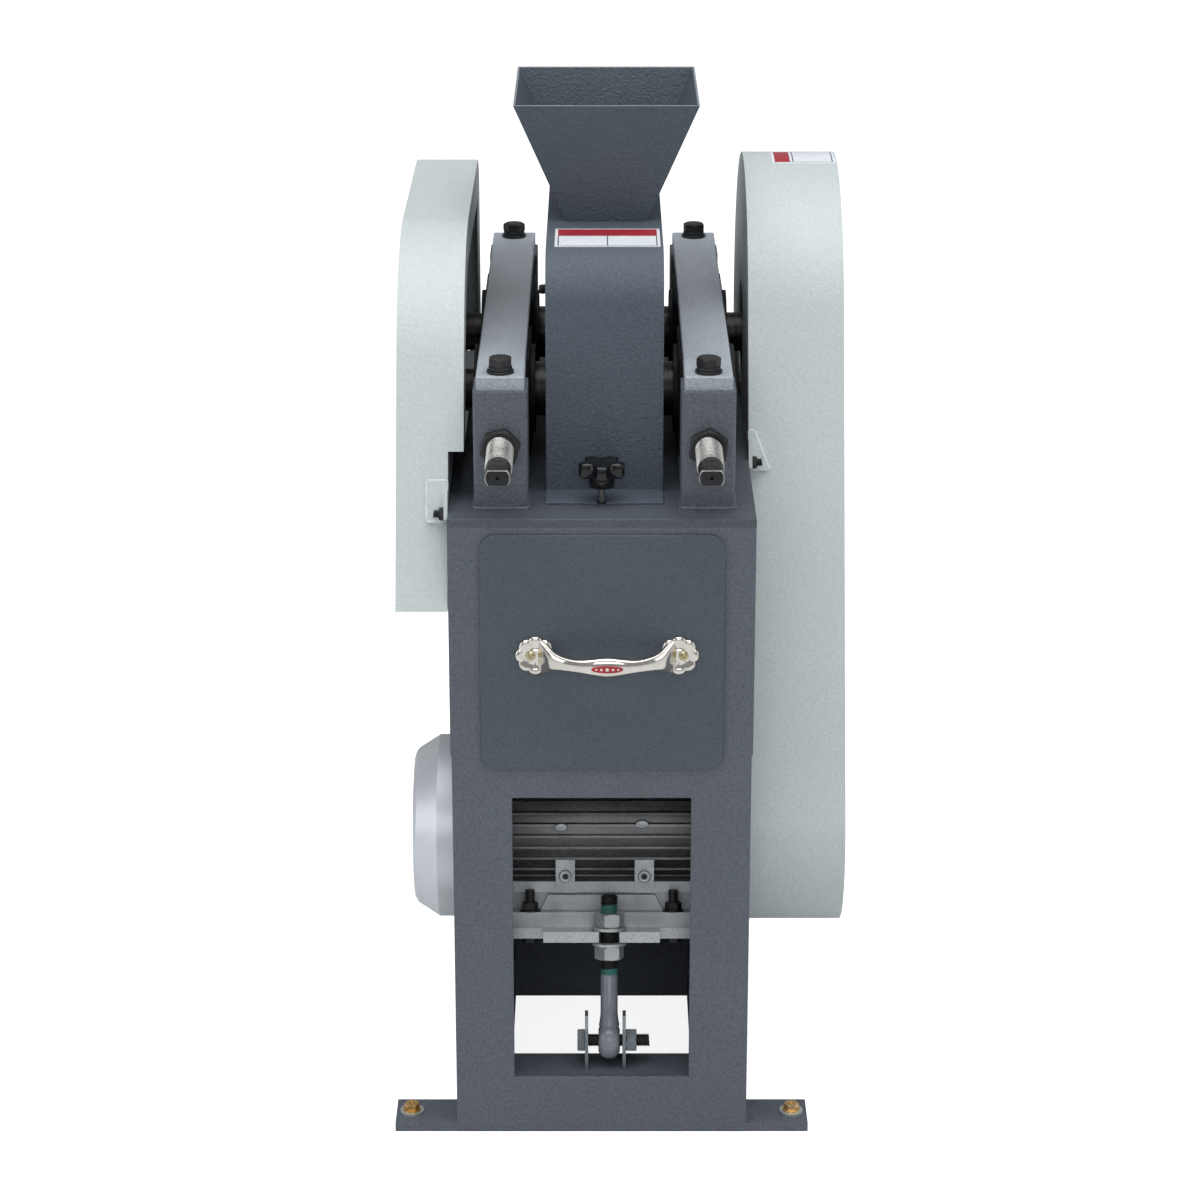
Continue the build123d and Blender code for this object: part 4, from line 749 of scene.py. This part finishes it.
def rosette():
    return grow([level(petals(0.98), 0), level(petals(1.0), 0.8), ruffled(1.0, 1.4, 0.4),
                 ruffled(0.96, 2.2, 0.8), ruffled(0.86, 2.8, 1.1), ruffled(0.72, 2.6, 0.6),
                 ruffled(0.56, 1.9, 0.2), level(5.6, 1.7), level(5.0, 2.3), level(4.4, 2.4)], 128)


def cross(reach, half):
    def outline(angle):
        wide, narrow = sorted((abs(math.cos(angle)), abs(math.sin(angle))), reverse=True)
        return min(reach / wide, half / max(narrow, 0.01))
    return outline


def crossed_head():
    return grow([level(4.2, 2.2), level(4.3, 2.8), level(3.8, 3.8), level(2.9, 4.5),
                 level(2.3, 4.7), level(cross(2.1, 0.55), 4.75), level(cross(1.9, 0.45), 3.4)], 96)


rosettes = [(rosette(), against_y(handle_x + side * rose_x, handle_back, rose_z), None)
            for side in (-1, 1)]
heads = [(crossed_head(),
          against_y(handle_x + side * screw_x, handle_back, rose_z) @ turned(lean), None)
         for side, lean in ((-1, 20), (1, 65))]
print("rosettes:", len(rosettes), "screw heads:", len(heads))

# %% [markdown]
# The arms flare out of the rosettes and a crowned grip joins them. Arms and grip are one row of
# rings, each an oval that leans with the path, and a low rib runs along the front of each arm.
# %% Arms and grip
# A station of the path: how far from the middle, how far out, half its height, half its thickness.
stations = [(60.5, 0.8, 15.4, 1.4), (58.0, 2.6, 15.6, 2.2), (54.6, 5.4, 14.0, 3.0),
            (51.0, 9.0, 11.6, 3.6), (46.5, 13.4, 9.0, 4.2), (41.0, 17.4, 7.3, 4.6),
            (34.0, 21.4, 6.4, 4.7), (25.0, 25.0, 6.2, 4.7), (16.0, 27.2, 7.0, 4.7),
            (7.0, 28.2, 8.3, 4.8), (0.0, 28.4, 8.8, 4.8)]
whole_path = [(-x, out, tall, thick) for x, out, tall, thick in stations[:-1]]
whole_path += [(x, out, tall, thick) for x, out, tall, thick in reversed(stations)]
rib_height = 1.5
rib_angle = math.radians(146)
squareness = 0.8


def smooth_path(points, between=3):
    """Adds stations between the given ones on a curve that passes through them all."""
    padded = [points[0]] + points + [points[-1]]
    path = []
    for a, b, c, d in zip(padded, padded[1:], padded[2:], padded[3:]):
        for step in range(between):
            t = step / between
            path.append(tuple(0.5 * (2 * q + (r - p) * t + (2 * p - 5 * q + 4 * r - s) * t * t
                                     + (3 * q - p - 3 * r + s) * t ** 3)
                              for p, q, r, s in zip(a, b, c, d)))
    return path + [points[-1]]


def rounded(value):
    """A cosine or sine, pushed out so that an oval gets fuller sides."""
    return math.copysign(abs(value) ** squareness, value)


def grip_rows():
    path = smooth_path(whole_path)
    rows = []
    for here, before, after in zip(path, [path[0]] + path[:-1], path[1:] + [path[-1]]):
        run, out = after[0] - before[0], after[1] - before[1]
        length = math.hypot(run, out)
        side_x, side_out = -out / length, run / length

        def row(angle, here=here, side_x=side_x, side_out=side_out):
            x, out, tall, thick = here
            across = rounded(math.cos(angle)) * thick
            on_arm = min(1, max(0, (abs(x) - 15) / 3)) * min(1, max(0, (58 - abs(x)) / 6))
            across += rib_height * on_arm * math.exp(-((angle - rib_angle) / 0.3) ** 2)
            up = rounded(math.sin(angle)) * tall
            return (handle_x + x + side_x * across, handle_back - out - side_out * across,
                    rose_z - 1 + up)
        rows.append(row)
    return rows


settle("cast_handle", [(grow(grip_rows(), 40), Matrix.Identity(4), None)] + rosettes,
       "drawer_handle", "chrome", ["drawer_handle"], sharp=50)
settle("crossed_handle_screws", heads, "drawer_handle", "brass", ["handle_screws"], sharp=40)

# %% [markdown]
# The grip's crown carries a small oval in red enamel with five white dots that grow towards its
# middle.
# %% Oval with dots
def oval(size, height):
    return lambda angle: (14 * size * math.cos(angle), 3.5 * size * math.sin(angle), height)


grip_out = stations[-1][1]
badge = against_y(handle_x, handle_back - grip_out, rose_z - 1.5)
dots = [(lathe([(0, 4.6), (radius, 4.6), (radius, 5.45), (radius * 0.7, 5.7), (0, 5.8)], 24),
         badge @ moved(x, 0, 0), 1)
        for x, radius in ((-9.6, 0.85), (-5.1, 1.1), (0, 1.5), (5.1, 1.1), (9.6, 0.85))]
plaque = grow([oval(1, 3.6), oval(1, 4.9), oval(0.93, 5.3), oval(0.6, 5.4)], 64)
white_enamel = worked_metal("white_enamel_dot", "#f2efe8", "#e2ded6", 0.25, 0.05, 1.0, metallic=0.0)
settle("dotted_oval", [(plaque, badge, 0)] + dots, "drawer_handle", "red_enamel", ["handle_oval"],
       coats=[finish["red_enamel"], white_enamel])

# %% [markdown]
# A star knob in black phenolic holds the casing down. It has five lobes, because a hand turns an
# odd number more easily, and moulding leaves it glossy with every edge rounded. Its outline is a
# circle from which five round hollows are taken, and the rows above one another round the
# shoulder and dome the top.
# %% Star knob
knob_low, knob_high = box_mm("knob")
knob_y = -244.0
lobes = 5
knob_rim = 20.5
hollow = 10.0
sharpness = 1.2
no_hollow = 40.0


def star(size, inward=0.0):
    """The knob's outline: its rim, or the near side of the next hollow where that is closer."""
    def outline(angle):
        step = 2 * math.pi / lobes
        off = (angle - math.pi / 2 + step / 2) % step - step / 2
        centre = knob_rim + hollow * 0.4
        under = hollow ** 2 - (centre * math.sin(off)) ** 2
        dip = centre * math.cos(off) - math.sqrt(under) if under > 0 else no_hollow
        soft = -math.log(math.exp(-knob_rim * sharpness)
                         + math.exp(-min(dip, no_hollow) * sharpness)) / sharpness
        return soft * size - inward
    return outline


knob_height = knob_high[2] - knob_low[2]
knob_place = moved(0, knob_y, knob_low[2])
hub = lathe([(0, 0.4), (10.6, 0.4), (11.4, 0.8), (11.8, 1.8), (11.8, 11), (0, 11)], 64)
head = grow([level(9, 9.6), level(star(1, 2.2), 9.8), level(star(1, 0.8), 10.3),
             level(star(1), 11.6), level(star(1), knob_height - 2.6),
             level(star(1, 0.5), knob_height - 1.4),
             level(star(1, 1.6), knob_height - 0.6), level(star(0.86, 1.8), knob_height - 0.1),
             level(star(0.5, 1.0), knob_height), level(4, knob_height)], 160)
settle("moulded_knob", [(hub, knob_place, None), (head, knob_place, None)], "knob", "black_plastic",
       ["knob"], sharp=40)

# %% [markdown]
# The small screws of the casing are a bare stud under the knob, a bolt with a washer at the back
# and a black set screw in the side.
# %% Casing screws
casing_low, casing_high = box_mm("casing_screws")
side_screw = along_x(casing_low[0], -17, casing_high[2] - 5)
back_bolt = moved(0, casing_high[1] - 9, 602)
settle("casing_stud_and_bolts", [
    (thread(3, 1.25, 0.5, 600, 620, 20), moved(0, knob_y, 0), None),
    (thread(5, 1.8, 1.0, 1.4, 9, 24, 1, 1), side_screw, None),
    (lathe([(0, 0), (3.2, 0), (4.2, 1), (4.2, 5), (0, 5)]), side_screw, 1),
    (washer(9, 3, 1), back_bolt, 0), (bolt_head(13, 5.5), back_bolt @ moved(0, 0, 1), 0)],
    "casing_screws", "bright_steel", ["casing_screws"],
    coats=[finish["bright_steel"], finish["black_steel"]])

# %% [markdown]
# The bolts that clamp the bearing bars have a flat washer and a spring washer under the head, and
# each head stopped at its own angle when it was tightened.
# %% Clamp bolts
clamp_low, clamp_high = box_mm("clamp_bolts")
clamp_washer, clamp_shank = 12, 6
stray_turn = 0.021
clamp_shells = []
for x in screw_xs:
    for y in (clamp_low[1] + clamp_washer, clamp_high[1] - clamp_washer):
        bolt = (moved(x, y, clamp_high[2] - 14)
                @ Matrix.Rotation(stray_turn * (x + 2 * y), 4, "Z"))
        shank = lathe([(0, clamp_low[2]), (clamp_shank, clamp_low[2]),
                       (clamp_shank, clamp_high[2] - 7), (0, clamp_high[2] - 7)])
        clamp_shells += [(washer(clamp_washer, clamp_shank, 2.5), bolt, None),
                         (washer(10.5, clamp_shank, 3.3), bolt @ moved(0, 0, 2.6), None),
                         (bolt_head(19, 8), bolt @ moved(0, 0, 6), None),
                         (shank, moved(x, y, 0), None)]
settle("washered_clamp_bolts", clamp_shells, "clamp_bolts", "black_steel", ["clamp_bolts"])

# %% [markdown]
# The motor's feet are clamped by two milled pads, each with a socket screw in a raised ring, and
# two oval bosses bridge the cooling fins above them. They are turned or grown on the motor's own
# axes.
# %% Pad screws and fin bosses
def boss(scale, height):
    return lambda angle: (6.2 * scale * math.cos(angle), 3.6 * scale * math.sin(angle), height)


pad_shells = []
for x in (-34, 40):
    ring = motor_frame @ against_y(x, -78, -37.5)
    pad_shells.append((lathe([(2.6, 0.2), (2.6, 2.3), (3.6, 2.9), (5.0, 2.9), (6.0, 2.0), (6.0, 0)],
                             48, closed=True), ring, 0))
    pad_shells.append((lathe([(0, 0.1), (3.8, 0.1), (3.8, 1.6), (0, 1.6)], 24), ring, 1))
for x, height in ((-38, 9), (38, 12)):
    pad_shells.append((grow([boss(1, -4), boss(1, 1.2), boss(0.86, 2.2), boss(0.5, 2.3),
                             boss(0.4, 1.5)], 40), motor_frame @ against_y(x, -79.2, height), 0))
settle("pad_screws_and_bosses", pad_shells, "motor_feet", "aluminium",
       coats=[milled_aluminium, finish["black_steel"]])

# %% [markdown]
# Each guard hangs on a lug, a small plate that is welded to its front, and a small bolt holds it.
# The left bolt is the mirror image of the one at the right, and since settle turns the faces of
# every shell outwards, a mirrored shell needs nothing more.
# %% Lug bolts
half_width = 135.5
lug_z = 604
left_lug = moved(0, -252.4, lug_z) @ turned(-23.2, "X")
right_lug = moved(0, -97.3, lug_z) @ turned(-21.8, "X")
flip = Matrix.Scale(-1, 4, (1, 0, 0))
bolt_shells = []
for place in (flip @ left_lug, right_lug):
    spot = place @ along_x(half_width + 3.3, -10.8, -12)
    bolt_shells += [(nut(10, 3.6, 3.2), spot, None),
                    (washer(5.6, 3.2, 0.8), spot @ moved(0, 0, 3.6), None),
                    (thread(3.8, 1.9, 0.9, 0.1, 10, 20), spot, None)]
settle("threaded_lug_bolts", bolt_shells, "guard_bolts", "black_steel", ["guard_bolts"])

# %% [markdown]
# The welder left a lumpy bead of weld round each lug, which the primer turned nearly white. A bead
# is a tube of rings, each of a slightly different size.
# %% Weld beads round the lugs
welder = random.Random(7)


def bead(start, end, radius, ripple=0.22):
    """One straight run of weld, made of rings that vary in size as the welder's hand did."""
    start, end = Vector(start), Vector(end)
    count = max(3, int((end - start).length / 1.6))
    aim = (end - start).to_track_quat("Z", "Y").to_matrix()
    rows = []
    for step in range(count + 1):
        part = step / count
        end_size = 0.6 if step in (0, count) else 1
        size = radius * (1 + welder.uniform(-ripple, ripple)) * end_size
        centre = start.lerp(end, part)
        rows.append(lambda angle, size=size, centre=centre:
                    centre + aim @ Vector((size * math.cos(angle), size * math.sin(angle), 0)))
    return grow(rows, 10)


lug_reach, lug_half, lug_front = 19, 18, -1.6
left_corners = [(-half_width - 1, lug_half), (-half_width - lug_reach, lug_half),
                (-half_width - lug_reach, -lug_half), (-half_width - 1, -lug_half)]
right_corners = [(half_width + 1, lug_half), (half_width + 5.7, lug_half),
                 (half_width + lug_reach, -lug_half), (half_width + 1, -lug_half)]
bead_shells = []
for corners, place in ((left_corners, left_lug), (right_corners, right_lug)):
    for (x0, z0), (x1, z1) in zip(corners, corners[1:]):
        bead_shells.append((bead((x0, lug_front, z0), (x1, lug_front, z1), 1.7), place, None))
weld_primer = worked_metal("primed_weld_bead", "#dde2e2", "#c3cbcb", 0.5, 0.1, 1.2, metallic=0.0,
                           depth_mm=0.3)
settle("lug_welds", bead_shells, "guard_lugs", "guard_paint", coats=[weld_primer], sharp=60)

# %% [markdown]
# The same bead, flatter and in the colour of the cabinet, runs round the foot of each bearing
# post.
# %% Weld beads at the posts
post_width, post_depth = 47.8, 48
stand_low, stand_high = box_mm("bearing_stands")
z = deck_top + 0.6
foot_shells = []
for x0, x1 in ((stand_low[0], stand_low[0] + post_width),
               (stand_high[0] - post_width, stand_high[0])):
    for y0, y1 in ((stand_low[1], stand_low[1] + post_depth),
                   (stand_high[1] - post_depth, stand_high[1])):
        for start, end in (((x0, y0, z), (x1, y0, z)), ((x0, y1, z), (x1, y1, z)),
                           ((x0, y0, z), (x0, y1, z)), ((x1, y0, z), (x1, y1, z))):
            foot_shells.append((bead(start, end, 1.9, 0.1), Matrix.Identity(4), None))
settle("post_welds", foot_shells, "bearing_stands", "dark_paint", sharp=60)

# %% [markdown]
# Two plain plates, one on top of the casing and one on top of the belt guard, carry a red field
# and a pale field with thin rules, and no words. A plate is a row of edges extruded into a small
# grid, so that each cell can take its own colour, and then given a thickness.
# %% Plate on the casing
def panel(xs, ys, coat_at):
    bm = bmesh.new()
    verts = [bm.verts.new((x, ys[0], 0)) for x in xs]
    edges = [bm.edges.new(pair) for pair in zip(verts, verts[1:])]
    for low, high in zip(ys, ys[1:]):
        verts, edges = extruded(bm, edges)
        bmesh.ops.translate(bm, vec=(0, high - low, 0), verts=list(verts))
    for face in bm.faces:
        middle = face.calc_center_median()
        face.material_index = coat_at(middle.x, middle.y)
    return bm


def thicken(bm, thickness):
    bmesh.ops.recalc_face_normals(bm, faces=bm.faces)
    bmesh.ops.solidify(bm, geom=list(bm.verts) + list(bm.edges) + list(bm.faces),
                       thickness=thickness)
    return bm


WHITE, RED, LINE = range(3)
vinyl = [worked_metal("printed_vinyl_white", "#e3e7ec", "#d6dbe1", 0.35, 0.05, 6.0, metallic=0.0),
         worked_metal("printed_vinyl_red", "#a8232f", "#971e2a", 0.35, 0.05, 6.0, metallic=0.0),
         worked_metal("printed_vinyl_line", "#4a4f57", "#3f444c", 0.4, 0.05, 6.0, metallic=0.0)]
plate_thickness = 0.6


def casing_plate_coat(x, y):
    if abs(x) > 44.4 or abs(y) > 31.6:
        return WHITE
    if y > 7:
        return RED
    ruled = abs(x) < 0.5 or abs(x) > 43.4 or y < -30.6 or y > 6
    return LINE if ruled else WHITE


casing_plate = panel([-47, -44.4, -43.4, -0.5, 0.5, 43.4, 44.4, 47],
                     [-34, -31.6, -30.6, 6, 7, 31.6, 34], casing_plate_coat)
casing_plate_at = moved(5.2, -136.5, 814.1)
settle("casing_plate", [(thicken(casing_plate, plate_thickness), casing_plate_at, None)], "casing",
       "drawer_paint", coats=vinyl, sharp=30)

# %% [markdown]
# The second plate lies on the belt guard, so it is bent round the guard's arc about the rear
# shaft.
# %% Plate on the belt guard
def guard_plate_coat(x, y):
    if x < 165.5 or x > 221 or abs(y) > 22:
        return WHITE
    if x < 180:
        return RED
    ruled = x < 183.5 and x > 182.5 or x > 220 or abs(y) > 21
    return LINE if ruled else WHITE


guard_plate = panel([163, 165.5, 180, 182.5, 183.5, 220, 221, 223.4],
                    [-25, -22, -21, -14, -7, 0, 7, 14, 21, 22, 25], guard_plate_coat)
rear_shaft_y, rear_shaft_z = 114, 661
guard_radius = 175.1
for vert in guard_plate.verts:
    swing = (vert.co.y - 2) / guard_radius
    vert.co = (vert.co.x, rear_shaft_y + guard_radius * math.sin(swing),
               rear_shaft_z + guard_radius * math.cos(swing))
settle("guard_plate", [(thicken(guard_plate, plate_thickness), Matrix.Identity(4), None)],
       "belt_guard", "guard_paint", coats=vinyl, sharp=30)

# %% [markdown]
# The belts wrap the motor's pulley, which moves with the tilting plate, and the big pulley, which
# stays, so their lower wrap follows the plate and their upper wrap the cabinet. Here a copy of the
# belts stands in for them, and the centres of the two pulleys are found.
# %% Copy the belts
belts = bpy.data.objects.new("fitted_drive_belts", nodes["drive_belts"].data.copy())
scene.collection.objects.link(belts)
small, big = ((Vector(low) + Vector(high)) / 2
              for low, high in map(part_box, ("motor_pulley", "big_pulley")))
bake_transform(belts)
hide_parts("drive_belts")
print("belts between", [round(v / MM) for v in small], "and", [round(v / MM) for v in big])
